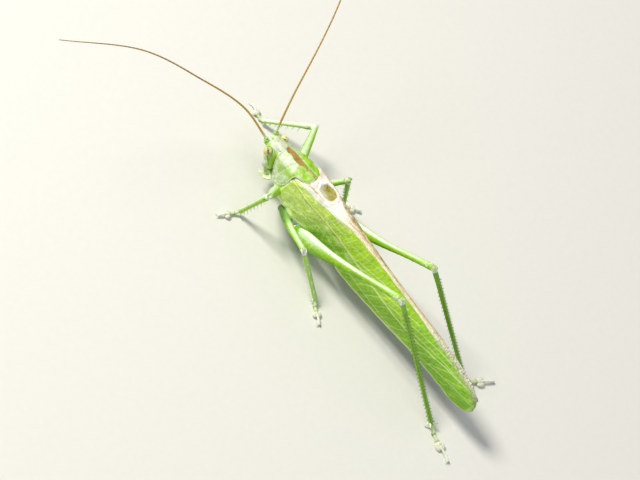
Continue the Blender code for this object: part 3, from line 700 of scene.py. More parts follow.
def wing_material():
    """Leathery wing: a net of small cells, pale veins, and a speckled strip along the back."""
    n = Nodes("wing")
    cream_mark, brown_mark, olive_mark, light_mark = n.marks()
    plan = n.add("ShaderNodeUVMap", uv_map="plan").outputs[0]
    depth, length = n.add("ShaderNodeSeparateXYZ", {0: plan}).outputs[:2]
    net = n.cells(150.0, "DISTANCE_TO_EDGE", n.stretch(plan, (1.0, 0.6, 1.0)))
    net_line = n.span(net, 0.0, 0.1, 1.0, 0.0)
    broad, fine = n.noise(420.0, 4.0), n.noise(7000.0, 3.0, 0.65)
    grit, light_grit = n.noise(1900.0, 5.0, 0.75), n.noise(1500.0, 5.0, 0.75)
    streak = n.noise(260.0, 4.0, 0.6, n.stretch(plan, (1.0, 0.14, 1.0)))
    long_streak = n.noise(330.0, 3.0, 0.6, n.stretch(plan, (1.0, 0.16, 1.0)))
    rear, far = n.span(length, 0.2, 0.36), n.span(length, 0.29, 0.36)
    light_share = n.times(n.span(light_grit, 0.5, 0.6), n.span(length, 0.03, 0.16, 0.85, 0.15))
    green = n.over(
        n.mix(n.span(depth, 0.024, 0.042),
              n.mix(rear, colour(0.42, 0.69, 0.005), colour(0.21, 0.54, 0.001)),
              n.mix(rear, colour(0.23, 0.53, 0.006), colour(0.17, 0.48, 0.001))),
        (n.span(length, 0.0, 0.12, 0.9, 0.0), colour(0.72, 0.93, 0.13)),
        (n.span(grit, 0.5, 0.64, 0.0, 0.5), colour(0.14, 0.40, 0.006)),
        (light_share, colour(0.90, 0.98, 0.50)),
        (n.span(broad, 0.35, 0.7, 0.0, 0.5), colour(0.16, 0.42, 0.012)),
        (n.span(streak, 0.5, 0.72, 0.0, 0.4), colour(0.50, 0.76, 0.12)),
        (n.times(net_line, 0.55), colour(0.47, 0.74, 0.09)))
    streak_share = n.times(n.span(long_streak, 0.46, 0.6), n.span(length, 0.05, 0.12, 0.05, 0.4))
    speck = n.span(n.noise(3600.0, 3.0, 0.7), 0.47, 0.56)
    speck_most = n.math("ADD", n.times(far, 0.55), n.span(length, 0.05, 0.12, 0.05, 0.3))
    cream = n.over(
        colour(0.93, 0.96, 0.93),
        (n.span(length, 0.05, 0.12), colour(0.93, 0.91, 0.70)),
        (far, colour(0.80, 0.82, 0.72)),
        (streak_share, colour(0.66, 0.54, 0.26)),
        (n.times(speck, speck_most), colour(0.24, 0.20, 0.11)))
    mirror = n.over(
        colour(0.31, 0.31, 0.04),
        (net_line, colour(0.16, 0.12, 0.02)),
        (n.span(broad, 0.4, 0.7, 0.0, 0.6), colour(0.50, 0.49, 0.18)))
    brown = n.over(
        colour(0.26, 0.12, 0.015),
        (fine, colour(0.64, 0.36, 0.05)),
        (n.span(brown_mark, 0.85, 0.98), colour(0.09, 0.06, 0.02)))
    tint = n.over(
        green,
        (cream_mark, cream),
        (olive_mark, mirror),
        (n.times(brown_mark, n.span(grit, 0.35, 0.6, 0.55, 1.0)), brown),
        (light_mark, colour(0.82, 0.95, 0.48)))
    n.bump(n.math("ADD", n.times(net_line, 0.8), n.times(fine, 0.25)), 0.00004)
    return n.finish(tint, n.span(fine, 0.3, 0.7, 0.38, 0.52), 0.04, 0.04, 0.2)


# ---------------------------------------------------------------- pronotum

# The middle line's height by y, then edges by share of the way from the middle to the hem,
# then the hem's height and the half-width by y.
PRONOTUM_TOP = ((-7.2, 10.75), (-4.0, 11.2), (0.0, 11.62))
PRONOTUM_FRONTS = ((0, -7.15), (0.5, -7.1), (0.8, -6.5), (1, -5.35))
PRONOTUM_REARS = ((0, 0.0), (0.22, -0.15), (0.3, -0.7), (0.4, -2.35), (0.5, -2.6), (0.8, -2.6),
                  (0.9, -2.9), (1, -3.8))
PRONOTUM_HEMS = ((-7.2, 7.9), (-5.6, 5.9), (-4.4, 5.4), (-2.4, 6.0), (0, 6.0))
PRONOTUM_WIDTHS = ((-7.2, 1.6), (-4, 2.4), (-1.3, 2.8), (0, 2.7))
PRONOTUM_SHEET = 0.3
PRONOTUM_ROWS = 104
PRONOTUM_COLUMNS = 181
# How far the brown stripe reaches left and right of the middle, by y.
STRIPE_LEFT = ((-7.2, 0.42), (-5.5, 0.36), (-4.4, 0.62), (-3.6, 0.6), (-2.8, 0.3), (0, 0.1))
STRIPE_RIGHT = ((-7.2, 0.38), (-5.0, 0.6), (-3.8, 0.55), (-2.6, 0.5), (0, 0.62))


def pronotum_places():
    """Each point of the shell's outer face: where it lies, and what it is near."""
    j, i = np.meshgrid(np.linspace(0, 1, PRONOTUM_ROWS), np.linspace(-1, 1, PRONOTUM_COLUMNS),
                       indexing="ij")
    v = np.abs(i)
    front, rear = curve_at(PRONOTUM_FRONTS, v), curve_at(PRONOTUM_REARS, v)
    y = front + (rear - front) * j
    top, hem = curve_at(PRONOTUM_TOP, y), curve_at(PRONOTUM_HEMS, y)
    x = curve_at(PRONOTUM_WIDTHS, y) * np.minimum(v / 0.46, 1.0) ** 0.92
    x = x + 0.22 * ease((v - 0.4) / 0.35) - 0.1 * ease((v - 0.8) / 0.2)
    drop = (0.5 + 0.35 * ease((-4.5 - y) / 2.5)) * np.minimum(v / 0.42, 1.0) ** 2.2
    drop = drop + (top - 0.5 - hem) * np.maximum((v - 0.4) / 0.6, 0.0) ** 1.15
    grid = smooth_across(np.stack((np.sign(i) * x, y, top - drop), axis=-1), 3)
    flat = grid.reshape(-1, 3)
    v, y, j, length = v.ravel(), y.ravel(), j.ravel(), (rear - front).ravel()
    to_front, to_rear, to_hem = j * length, (1 - j) * length, (1 - v) * 7.0
    furrow_y = -3.75 - 0.8 * np.minimum(v / 0.45, 1) - 0.5 * np.maximum(v - 0.45, 0) / 0.55
    return SimpleNamespace(
        grid=grid, flat=flat, v=v, x=flat[:, 0], y=y, to_front=to_front, to_rear=to_rear,
        to_hem=to_hem, edge=np.minimum(np.minimum(to_front, to_rear), to_hem),
        furrow=bell(y - furrow_y, 0.2) * between(0.85, 0.6, v),
        wander=value_noise(flat, 0.8, 5), crumb=value_noise(flat, 0.3, 6))


def pronotum_relief(shell):
    """The rolled rim, two furrows, the gutter inside the rim, the keel and fine lumps, in mm."""
    rolled = 0.09 * bell(shell.edge - 0.1, 0.12) * (1 - 0.9 * between(0.6, 0.3, shell.to_rear))
    second = bell(shell.y + 5.9 - 0.5 * shell.v, 0.14) * between(0.6, 0.35, shell.v)
    gutter = bell(shell.edge - 0.42, 0.16) * (shell.to_hem < 1.2)
    keel = bell(shell.x, 0.1) * between(-3.5, -1.5, shell.y)
    lumps = value_noise(shell.flat, 0.55, 3) * 0.03 + shell.crumb * 0.022
    return rolled - 0.055 * shell.furrow - 0.04 * second - 0.05 * gutter + 0.03 * keel + lumps


def pronotum_marks(shell, moved):
    """Pale, stripe brown, dark and deep green of the shell."""
    x, y, v, wander, crumb = shell.x, shell.y, shell.v, shell.wander, shell.crumb
    left, right = curve_at(STRIPE_LEFT, y), curve_at(STRIPE_RIGHT, y)
    ragged = x + 0.16 * crumb + 0.1 * wander
    stripe = np.minimum(between(left + 0.1, left - 0.08, ragged),
                        between(-right - 0.1, -right + 0.08, ragged))
    faded = between(-3.9, -2.4, y)
    disc = between(0.5, 0.36, v)
    low_lobe = between(0.5, 0.72, v + 0.06 * wander)
    centre = bell(np.hypot(y + 5.2, (v - 0.64) * 7), 0.75)
    border = strongest(bell(x - left - 0.14, 0.14), bell(x + right + 0.14, 0.14))
    # lit: a pale sheen on the disc's left, partly the shell's own pale and partly a painted
    # highlight
    lit = (between(0.35, 0.6, x) * between(2.6, 1.9, x + 0.35 * wander)
           * between(-2.9, -3.8, y + 0.4 * wander) * between(0.62, 0.5, v))
    pale = strongest(
        0.95 * lit * (0.6 + 0.4 * between(-0.4, 0.2, crumb + 0.5 * wander)),
        0.4 * between(0.0, 0.4, value_noise(moved, 0.2, 8)) * (x > left) * disc,
        # the same sheen, weaker, on the right of the disc's front: partly own pale, partly a
        # painted highlight
        0.35 * between(-0.5, -0.8, x) * between(-4.4, -5.4, y) * disc,
        0.6 * border * (1 - 0.5 * faded),
        low_lobe * (0.4 + 0.6 * between(-0.25, 0.3, value_noise(moved, 0.2, 7))),
        0.9 * bell(np.minimum(shell.to_hem, shell.to_front + (v < 0.5)) - 0.06, 0.17),
        0.85 * bell(shell.to_rear - 0.05, 0.12),
        bell(np.hypot(y + 2.0, (v - 0.37) * 6), 0.4))
    pale = strongest(pale * (1 - stripe), stripe * (0.25 + 0.35 * faded) * between(0.0, 0.4, crumb))
    third = strongest(stripe * (1.0 - 0.5 * faded) * (0.85 + 0.15 * crumb),
                      0.3 * bell(shell.edge - 0.32, 0.07) * (v > 0.5))
    deep = strongest(
        0.25 * between(0.1, 0.5, value_noise(moved, 0.16, 7) + 0.3 * wander) * low_lobe,
        0.4 * centre,
        0.5 * shell.furrow * between(-0.2, 0.4, crumb) * (1 - lit),
        0.5 * disc * between(-3.2, -2.2, y) * between(-0.3, 0.5, wander) * (1 - stripe),
        0.5 * between(-0.6, -1.0, x) * between(-0.4, 0.5, wander))
    return pale * (1 - 0.8 * centre), third, 0.3 * stripe * between(0.1, 0.5, -crumb), deep


def pronotum(material):
    """Saddle-shaped shell with a rolled rim, a furrow across it and a lobe down each side."""
    shell = pronotum_places()
    out = normals_of(shell.flat, grid_faces(*shell.grid.shape[:2]))
    sign = np.sign((out @ UP).sum())
    moved = shell.flat + out * (pronotum_relief(shell) * sign)[:, None]
    moved[:, 2] -= 0.16 * bell(shell.to_rear, 0.4) * between(0.6, 0.5, shell.v)
    verts, faces = plate(moved.reshape(shell.grid.shape), PRONOTUM_SHEET * sign)
    place("pronotum_shell", verts, faces, material, ("pronotum",),
          pronotum_marks(shell, moved))


# ---------------------------------------------------------------- head

HEAD_SLICES = (            # (height, half-width, y of the front, y of the back)
    (3.9, 1.1, -7.6, -6.3), (4.2, 1.25, -7.75, -6.3), (4.8, 1.6, -8.15, -6.2),
    (5.5, 1.85, -8.6, -6.1), (6.3, 2.0, -9.1, -6.1), (7.1, 2.1, -9.5, -6.2),
    (7.9, 2.1, -9.75, -6.4), (8.7, 1.9, -9.85, -6.6), (9.3, 1.5, -9.85, -6.7),
    (9.8, 1.1, -9.6, -6.8), (10.2, 0.85, -9.1, -6.9), (10.45, 0.55, -8.5, -7.1),
)
HEAD_LUMPS = (             # (centre, radii)
    ((0, -7.6, 10.05), (1.15, 1.1, 0.5)),
    ((0, -6.85, 9.3), (1.75, 0.85, 1.0)),        # nape, under the pronotum
    ((0, -9.72, 9.58), (0.42, 0.68, 0.36)),      # fastigium
    ((0, -9.0, 9.95), (0.7, 1.0, 0.42)),
    ((0, -9.25, 7.2), (1.25, 0.55, 1.3)),        # frons
    ((0, -8.15, 4.9), (1.15, 0.42, 0.75)),       # clypeus
)
HEAD_SIDE_LUMPS = (        # the same on the left, and mirrored on the right
    ((1.6, -8.72, 8.4), (0.6, 0.88, 0.84)),      # rim round the eye
    ((1.45, -7.65, 6.0), (0.62, 0.8, 1.8)),      # cheek
    ((1.12, -7.3, 4.6), (0.5, 0.55, 0.8)),       # foot of the jaw
)
HEAD_RINGS = 30
HEAD_SIDES = 40
FEELER_SOCKET = ((0.98, -9.2, 8.75), (1.06, -9.98, 8.83))
CHEEK_FURROW = ((2.15, -8.3, 7.9), (2.1, -7.6, 7.1), (2.0, -6.9, 6.2), (1.85, -6.35, 5.3))
FACE_LINE = ((0.62, -9.9, 8.2), (0.95, -9.3, 6.6), (1.1, -8.6, 5.2), (1.05, -8.1, 4.5))
EYE_CENTRE = vec(2.0, -8.72, 8.65)
EYE_RADII = vec(0.68, 0.76, 0.88)
EYE_SIDES = 96


def head_clay():
    """Skull, fastigium, feeler sockets, cheeks and clypeus."""
    clay = Clay()
    rings = []
    for z in np.linspace(HEAD_SLICES[0][0], HEAD_SLICES[-1][0], HEAD_RINGS):
        half, front, back = section_at(HEAD_SLICES, z)
        squareness = 2.25 + 0.75 * float(bell(z - 6.6, 1.6))
        rings.append(ring(vec(0, (front + back) / 2, z), vec(0, -1, 0), vec(1, 0, 0),
                          (back - front) / 2, half, HEAD_SIDES, squareness))
    clay.loft(rings)
    for centre, radii in HEAD_LUMPS:
        clay.ball(centre, radii)
    for side in (1, -1):
        clay.tube(to_side(FEELER_SOCKET, side), [0.66, 0.58], 20)
        for centre, radii in HEAD_SIDE_LUMPS:
            clay.ball(to_side(centre, side), radii)
    return clay


def head_places(verts):
    """Each point of the head's skin: where it lies, and what it is near."""
    mirrored = np.column_stack((np.abs(verts[:, 0]), verts[:, 1:]))
    x, y, z = mirrored.T
    front = between(-7.6, -8.4, y)
    eye_gap = np.linalg.norm((mirrored - EYE_CENTRE) / (EYE_RADII + 0.08), axis=1) - 1
    return SimpleNamespace(
        verts=verts, x=x, y=y, z=z, front=front, eye_gap=eye_gap,
        rim=bell(eye_gap - 0.12, 0.1),
        from_furrow=near_line(mirrored, CHEEK_FURROW),
        from_face_line=near_line(mirrored, FACE_LINE),
        suture=bell(z - 4.45 - 0.12 * (x / 1.2) ** 2, 0.07) * front * between(1.4, 1.1, x),
        scape_groove=bell(from_point(mirrored, (1.08, -10.05, 8.85)) - 0.56, 0.09))


def head_relief(skin):
    """Furrows, the seam above the lip, the rims of the eyes and fine lumps, in mm."""
    under_fastigium = (bell(np.hypot(skin.z - 9.12, (skin.y + 10.0) * 0.6), 0.12)
                       * between(0.5, 0.3, skin.x))
    occiput = bell(skin.y + 7.75, 0.12) * between(8.5, 9.5, skin.z)
    return (-0.09 * bell(skin.from_furrow, 0.12) - 0.08 * skin.suture
            - 0.04 * bell(skin.from_face_line, 0.09) * skin.front
            - 0.1 * under_fastigium - 0.05 * skin.scape_groove + 0.05 * skin.rim - 0.03 * occiput
            + 0.012 * value_noise(skin.verts, 0.3, 11) + 0.006 * value_noise(skin.verts, 0.14, 12))


def head_marks(skin, verts):
    """Pale, pink, dark and deep green of the head."""
    x, y, z, left = skin.x, skin.y, skin.z, verts[:, 0]
    wander, crumb = value_noise(verts, 0.6, 13), value_noise(verts, 0.25, 14)
    on_top = between(8.9, 9.7, z)
    slant = 0.35 * between(-7.6, -8.8, y)
    band = (between(0.42, 0.28, left + 0.1 * crumb)
            * between(-0.75, -0.55, left + slant + 0.1 * crumb))
    band_side = bell(left + 0.66 - slant + 0.06 * crumb, 0.07)
    shoulder = between(0.4, 0.55, x) * between(1.5, 1.25, x)
    off_line = y + 7.6 + 0.8 * (z - 7.1)        # before (less than 0) or behind the dark line
    panel = between(-0.05, -0.4, off_line) * between(7.9, 7.4, z) * between(0.9, 1.4, x)
    behind = between(0.1, 0.5, off_line) * between(1.5, 1.8, x) * between(9.3, 8.6, z)
    pale = strongest(
        0.7 * on_top * between(0.75, 0.4, np.abs(left + 0.1) + 0.12 * wander),
        # a pale sheen beside the crown band, partly the head's own pale and partly a painted
        # highlight, stronger on the left
        0.95 * on_top * shoulder * np.where(left > 0, 1.0, 0.45),
        0.8 * on_top * band,
        0.8 * panel * between(-1.0, 0.0, wander + 0.5 * crumb) * (z > 4.9),
        0.55 * skin.rim,
        0.4 * skin.front * between(7.5, 6.0, z) * between(1.2, 0.7, x))
    pink = strongest(
        0.3 * on_top * band * between(-9.9, -9.5, y) * (0.75 + 0.25 * crumb),
        0.75 * on_top * band_side)
    deep = strongest(
        0.95 * bell(skin.from_furrow, 0.14) * between(-0.9, -0.3, wander),
        0.5 * skin.scape_groove,
        0.35 * behind * between(-0.3, 0.5, wander),
        0.5 * skin.suture)
    return pale, pink, 0.25 * bell(skin.from_furrow, 0.06), deep


def head(material):
    """The head under one skin, with its furrows and the sockets that hold the eyes."""
    verts, faces = head_clay().skin(voxel=0.06, rounds=3)
    skin = head_places(verts)
    sunk = 0.2 * between(0.0, -0.12, skin.eye_gap)
    verts = (verts + normals_of(verts, faces) * head_relief(skin)[:, None]
             - unit(verts - (0, -8.6, 8.5)) * sunk[:, None])
    place("head_skin", verts, faces, material, ("head",), head_marks(skin, verts))


def eyes(material):
    """Egg-shaped eyes with fine facets; the streak that shows is where the eye looks deep."""
    clay = Clay()
    clay.ball((0, 0, 0), (1, 1, 1), count=EYE_SIDES)
    verts = np.vstack(clay.verts)
    z = verts[:, 2]
    seen = verts @ unit(VIEW_BACK) > 0
    freckle = between(0.25, 0.6, value_noise(verts * 3, 0.8, 21))
    for side, word in SIDES:
        off, high = verts @ unit(VIEW_RIGHT), verts @ unit(VIEW_UP)
        if side < 0:                       # the far eye looks deep low down, beside the head
            off, high = high + 0.08, 1.3 * (off + 0.22)
        pupil = between(0.21, 0.1, np.abs(off + 0.04)) * between(0.85, 0.6, np.abs(high)) * seen
        spot = bell(np.hypot(off, high - 0.05), 0.24) * seen
        masks = (0.35 * between(0.2, 0.9, z), 0.2 * freckle,
                 strongest(0.95 * pupil, 0.9 * spot, 0.3 * freckle),
                 0.8 * between(-0.35, -0.8, z))
        place(f"eye_ball_{word}", verts * EYE_RADII + EYE_CENTRE * (side, 1, 1), clay.faces,
              material, (f"eye_{word}",), masks)


# ---------------------------------------------------------------- mouth

LIP_RINGS = (              # (centre, half-width, half-depth)
    ((0, -7.62, 4.1), 1.0, 0.22), ((0, -7.62, 3.8), 1.0, 0.34), ((0, -7.52, 3.4), 0.95, 0.38),
    ((0, -7.35, 3.0), 0.78, 0.34), ((0, -7.2, 2.75), 0.5, 0.26), ((0, -7.12, 2.65), 0.25, 0.15),
)
JAW_TUBES = (              # (points of the left one, radii, points round each ring)
    (((1.1, -7.0, 4.5), (1.0, -6.95, 3.7), (0.8, -6.95, 3.1), (0.45, -7.0, 2.72)),
     (0.5, 0.5, 0.38, 0.18), 18),
    (((1.15, -6.3, 4.4), (1.05, -6.2, 3.5), (0.8, -6.3, 2.9)), (0.45, 0.42, 0.26), 16),
    (((0.55, -6.0, 4.2), (0.5, -6.1, 3.2), (0.45, -6.4, 2.7)), (0.45, 0.42, 0.22), 16),
)
PALPS = (                  # (joints of the left one, radius)
    (((1.3, -5.9, 4.2), (1.75, -5.2, 4.0), (2.0, -5.45, 3.7), (2.1, -6.05, 3.3),
      (2.1, -7.2, 3.3)), 0.25),
    (((0.75, -6.1, 3.0), (0.95, -6.3, 2.55), (1.0, -6.95, 2.5)), 0.17),
)


def lip(material):
    """The upper lip, with a dent in its lower edge."""
    clay = Clay()
    tilt = (vec(1, 0, 0), unit(vec(0, -1, 0.35)))
    clay.loft([ring(vec(*centre), *tilt, wide, deep, 28) for centre, wide, deep in LIP_RINGS])
    verts, faces = clay.skin(voxel=0.05, rounds=3)
    dent = bell(np.hypot(verts[:, 0], (verts[:, 2] - 2.65) * 0.8), 0.2)
    verts = verts + UP * (0.14 * dent)[:, None]
    z = verts[:, 2]
    place("lip", verts, faces, material, ("upper_lip",),
          (0.5 * between(3.6, 2.8, z), 0, 0, 0.7 * bell(z - 3.95, 0.1)))


def jaws(side, word, material):
    """The upper jaw of one side, the lower one behind it and half of the lower lip."""
    clay = Clay()
    for points, radii, count in JAW_TUBES:
        clay.tube(to_side(points, side), radii, count)
    verts, faces = clay.skin(voxel=0.055, rounds=3)
    tip = between(3.1, 2.75, verts[:, 2]) * between(-6.6, -6.9, verts[:, 1])
    place(f"jaws_{word}", verts, faces, material, (f"jaw_{word}",),
          (0.2, 0.8 * tip, 0.5 * tip, 0.5 * bell(verts[:, 1] + 6.6, 0.12)))


def palps(side, word, material):
    """The long and the short jointed palp of one side."""
    clay = Clay()
    joints = []
    for points, thick in PALPS:
        points = to_side(points, side)
        joints.extend(points)
        for k, (a, b) in enumerate(zip(points, points[1:])):
            swell = 1.0 + 0.12 * k
            route = [a + (b - a) * t for t in (0.0, 0.35, 0.8, 1.0)]
            clay.tube(route, [thick * 0.8, thick * 0.92, thick * swell, thick * swell])
    verts, faces = clay.skin(voxel=0.045)
    from_joint = np.min([from_point(verts, joint) for joint in joints], axis=0)
    place(f"palps_{word}", verts, faces, material, (f"palp_{word}",),
          (0.8, 0, 0, 0.4 * bell(from_joint - 0.2, 0.1)))


# ---------------------------------------------------------------- feelers

FEELERS = {
    "left": ((1.1, -10.15, 8.75), (1.25, -10.5, 9.5), (2.4, -16.8, 11.5), (7.2, -23.8, 14.0),
             (16.2, -32.5, 18.8), (31.0, -40.0, 24.2)),
    "right": ((-1.0, -10.15, 8.85), (-1.2, -10.52, 9.6), (-5.1, -13.2, 13.6), (-17.1, -20.7, 24.5),
              (-31.0, -33.5, 39.0)),
}
FEELER_ROWS = 900
FEELER_SIDES = 12
# By share of the whip's length.
FEELER_RADII = ((0, 0.2), (0.06, 0.18), (0.3, 0.14), (0.7, 0.1), (1, 0.06))


def feeler_root(word, material):
    """The stout green root joint of a feeler and the short joint on it."""
    root, neck = np.array(FEELERS[word][:2])
    ahead = unit(neck - root)
    clay = Clay()
    clay.tube([root - ahead * 0.35, root + ahead * 0.1, root + ahead * 0.75, neck - ahead * 0.25],
              [0.36, 0.43, 0.45, 0.34], 20)
    clay.tube([neck - ahead * 0.22, neck + ahead * 0.12], [0.27, 0.26], 16)
    verts, faces = clay.skin(voxel=0.045, rounds=3)
    along = (verts - root) @ ahead
    groove = bell(along - np.linalg.norm(neck - root) + 0.12, 0.07)
    place(f"feeler_root_{word}", verts, faces, material,
          (f"antenna_{word}_root",), (0.25, 0, 0, 0.7 * groove))


def feeler_whip(word, material):
    """The long ringed whip of a feeler."""
    route = route_through(FEELERS[word][1:], FEELER_ROWS)
    length = np.concatenate(([0], np.cumsum(np.linalg.norm(np.diff(route, axis=0), axis=1))))
    share = length / length[-1]
    joint_size = 0.32 + 0.55 * between(0, 0.5, share)
    phase = np.cumsum(np.gradient(length) / joint_size) % 1.0
    radius = curve_at(FEELER_RADII, share)
    radius = radius * (1 + 0.1 * bell(phase - 0.88, 0.12) - 0.06 * bell(phase - 0.02, 0.06))
    radius[-1] *= 0.3
    tangent = unit(np.gradient(route, axis=0))
    side = unit(np.cross(tangent, UP))
    over = np.cross(side, tangent)
    angle = (2 * math.pi * np.arange(FEELER_SIDES) / FEELER_SIDES)[:, None]
    wheel = side[:, None] * np.cos(angle) + over[:, None] * np.sin(angle)
    tube = route[:, None] + wheel * radius[:, None, None]
    faces = grid_faces(FEELER_ROWS, FEELER_SIDES, closed=True).tolist()
    last = (FEELER_ROWS - 1) * FEELER_SIDES
    faces.append(list(range(FEELER_SIDES)))
    faces.append(list(reversed(range(last, last + FEELER_SIDES))))
    green = between(0.035, 0.0, share)
    masks = (0.5 * green, 0.5 * between(0.1, 0.8, share),
             0.45 * (bell(phase - 0.95, 0.1) + bell(phase, 0.06)), green)
    place(f"feeler_whip_{word}", tube.reshape(-1, 3), faces, material,
          tuple(f"antenna_{word}_{k}" for k in (1, 2, 3)), np.repeat(masks, FEELER_SIDES, axis=1))


# ---------------------------------------------------------------- legs

# Hip, knee, ankle and toe of each leg.
LEGS = {
    "fore_left": ((2.1, -3.1, 3.9), (8.4, -2.35, 10.4), (8.65, -3.95, 1.0), (12.2, -5.6, 0.33)),
    "fore_right": ((-2.1, -3.1, 3.9), (-9.55, -7.5, 7.5), (-6.5, -14.1, 1.0), (-7.3, -17.7, 0.33)),
    "middle_left": ((2.95, -0.2, 2.9), (8.0, 7.9, 7.7), (7.75, 15.4, 1.0), (9.8, 19.0, 0.33)),
    "middle_right": ((-3.4, -0.2, 2.6), (-5.25, 3.25, 11.3), (-8.9, 5.3, 1.0), (-11.2, 8.0, 0.33)),
    "hind_left": ((3.0, 3.8, 2.3), (4.65, 24.2, 16.0), (4.95, 43.5, 1.05), (6.5, 50.1, 0.33)),
    "hind_right": ((-3.15, 3.8, 2.3), (-3.5, 23.4, 17.3), (-5.85, 41.4, 1.05), (-11.2, 44.7, 0.33)),
}
COXA_ROOTS = {"fore": (1.25, -3.5, 4.0), "middle": (1.5, 0.1, 2.2), "hind": (1.6, 3.2, 1.9)}
COXA_SIZES = {"fore": 0.72, "middle": 0.72, "hind": 0.78}
# Half-widths, half-heights and bends by share of a limb's length.
FEMUR_SIZES = {
    "fore": (((0, 0.55), (0.1, 0.72), (0.4, 0.84), (0.75, 0.66), (0.93, 0.52), (1, 0.54)),
             ((0, 0.58), (0.1, 0.78), (0.4, 0.9), (0.75, 0.68), (0.93, 0.54), (1, 0.56))),
    "middle": (((0, 0.5), (0.1, 0.62), (0.28, 0.7), (0.7, 0.52), (0.93, 0.48), (1, 0.52)),
               ((0, 0.52), (0.1, 0.7), (0.28, 0.8), (0.7, 0.55), (0.93, 0.5), (1, 0.54))),
    "hind": (((0, 0.65), (0.18, 1.05), (0.4, 0.74), (0.68, 0.5), (0.88, 0.52), (1, 0.56)),
             ((0, 0.85), (0.07, 1.4), (0.17, 1.8), (0.38, 1.2), (0.64, 0.68), (0.88, 0.62),
              (1, 0.68))),
}
STRAIGHT = ((0, 0), (1, 0))
FEMUR_BOW = {"fore": STRAIGHT, "middle": ((0, 0), (0.4, 0.3), (1, 0)),
             "hind": ((0, 0.15), (0.25, 0.6), (0.6, 0.2), (1, 0))}
FEMUR_SAG = {"fore": STRAIGHT, "middle": STRAIGHT,
             "hind": ((0, 0.1), (0.25, 0.35), (0.55, 0.45), (0.8, 0.15), (1, 0))}
TIBIA_SIZES = {
    "fore": ((0, 0.42), (0.04, 0.42), (0.1, 0.54), (0.17, 0.55), (0.27, 0.44), (0.6, 0.38),
             (0.95, 0.38), (1, 0.42)),
    "middle": ((0, 0.42), (0.06, 0.46), (0.2, 0.43), (0.6, 0.38), (0.95, 0.38), (1, 0.42)),
    "hind": ((0, 0.42), (0.05, 0.46), (0.12, 0.42), (0.5, 0.36), (0.9, 0.35), (1, 0.42)),
}
FOOT_WIDTHS = ((0, 0.35), (0.45, 0.5), (0.54, 0.85), (0.7, 0.35), (1, 0.4))
FOOT_HEIGHTS = ((0, 0.4), (1, 0.4))
LEG_VOXELS = {"fore": 0.065, "middle": 0.065, "hind": 0.075}      # grain of the skin, in mm
# Rows of spines on each tibia and of teeth on each femur, as (angle from the upper side in
# degrees, share of the length of the first and of the last, how many, length, radius, lean).
SPINE_ROWS = {
    "fore": ((150, 0.3, 0.97, 7, 0.85, 0.085, 0.7), (-150, 0.3, 0.97, 7, 0.85, 0.085, 0.7),
             (35, 0.35, 0.9, 3, 0.45, 0.07, 0.8)),
    "middle": ((150, 0.22, 0.97, 7, 0.75, 0.08, 0.7), (-150, 0.22, 0.97, 7, 0.75, 0.08, 0.7),
               (35, 0.25, 0.8, 4, 0.55, 0.07, 0.8), (-35, 0.3, 0.8, 3, 0.55, 0.07, 0.8)),
    "hind": ((45, 0.1, 0.97, 34, 0.38, 0.12, 0.6), (-45, 0.12, 0.97, 34, 0.38, 0.12, 0.6),
             (128, 0.12, 0.95, 28, 0.36, 0.11, 0.7), (-128, 0.2, 0.95, 24, 0.34, 0.1, 0.7)),
}
FEMUR_TEETH = {
    "fore": ((155, 0.45, 0.92, 5, 0.3, 0.06, 0.6),),
    "middle": ((-155, 0.45, 0.92, 5, 0.3, 0.06, 0.6),),
    "hind": ((160, 0.5, 0.95, 8, 0.28, 0.06, 0.6), (-160, 0.55, 0.95, 7, 0.28, 0.06, 0.6)),
}
SHORT_SPURS = ((150, 0.65), (-150, 0.65))          # (angle, length) of the spurs at the ankle
SPURS = {"fore": SHORT_SPURS, "middle": SHORT_SPURS,
         "hind": ((150, 1.3), (-150, 1.3), (60, 1.0), (-60, 1.0))}
# How pale and how dark a spine is, and the share of its length that the dark starts at.
SPINE_LOOKS = {"fore": (0.75, 0.7, 0.6), "middle": (0.75, 0.7, 0.6), "hind": (0.0, 1.0, -0.3)}
# Rings of a spike, as (share of its length, size).
SPIKE_STEPS = ((0.0, 1.0), (0.35, 0.8), (0.7, 0.48), (0.92, 0.2), (1.0, 0.06))
# The direction that the painted highlight along each femur faces.
HIGHLIGHT_SIDE = vec(0.22, -0.4, 0.88)        # the side that the pale line of a femur is on
# How strong a sheen is painted along the top of each kind of tibia, as a painted highlight.
TIBIA_SHEEN = {"fore": 0.7, "middle": 0.45, "hind": 0.12}


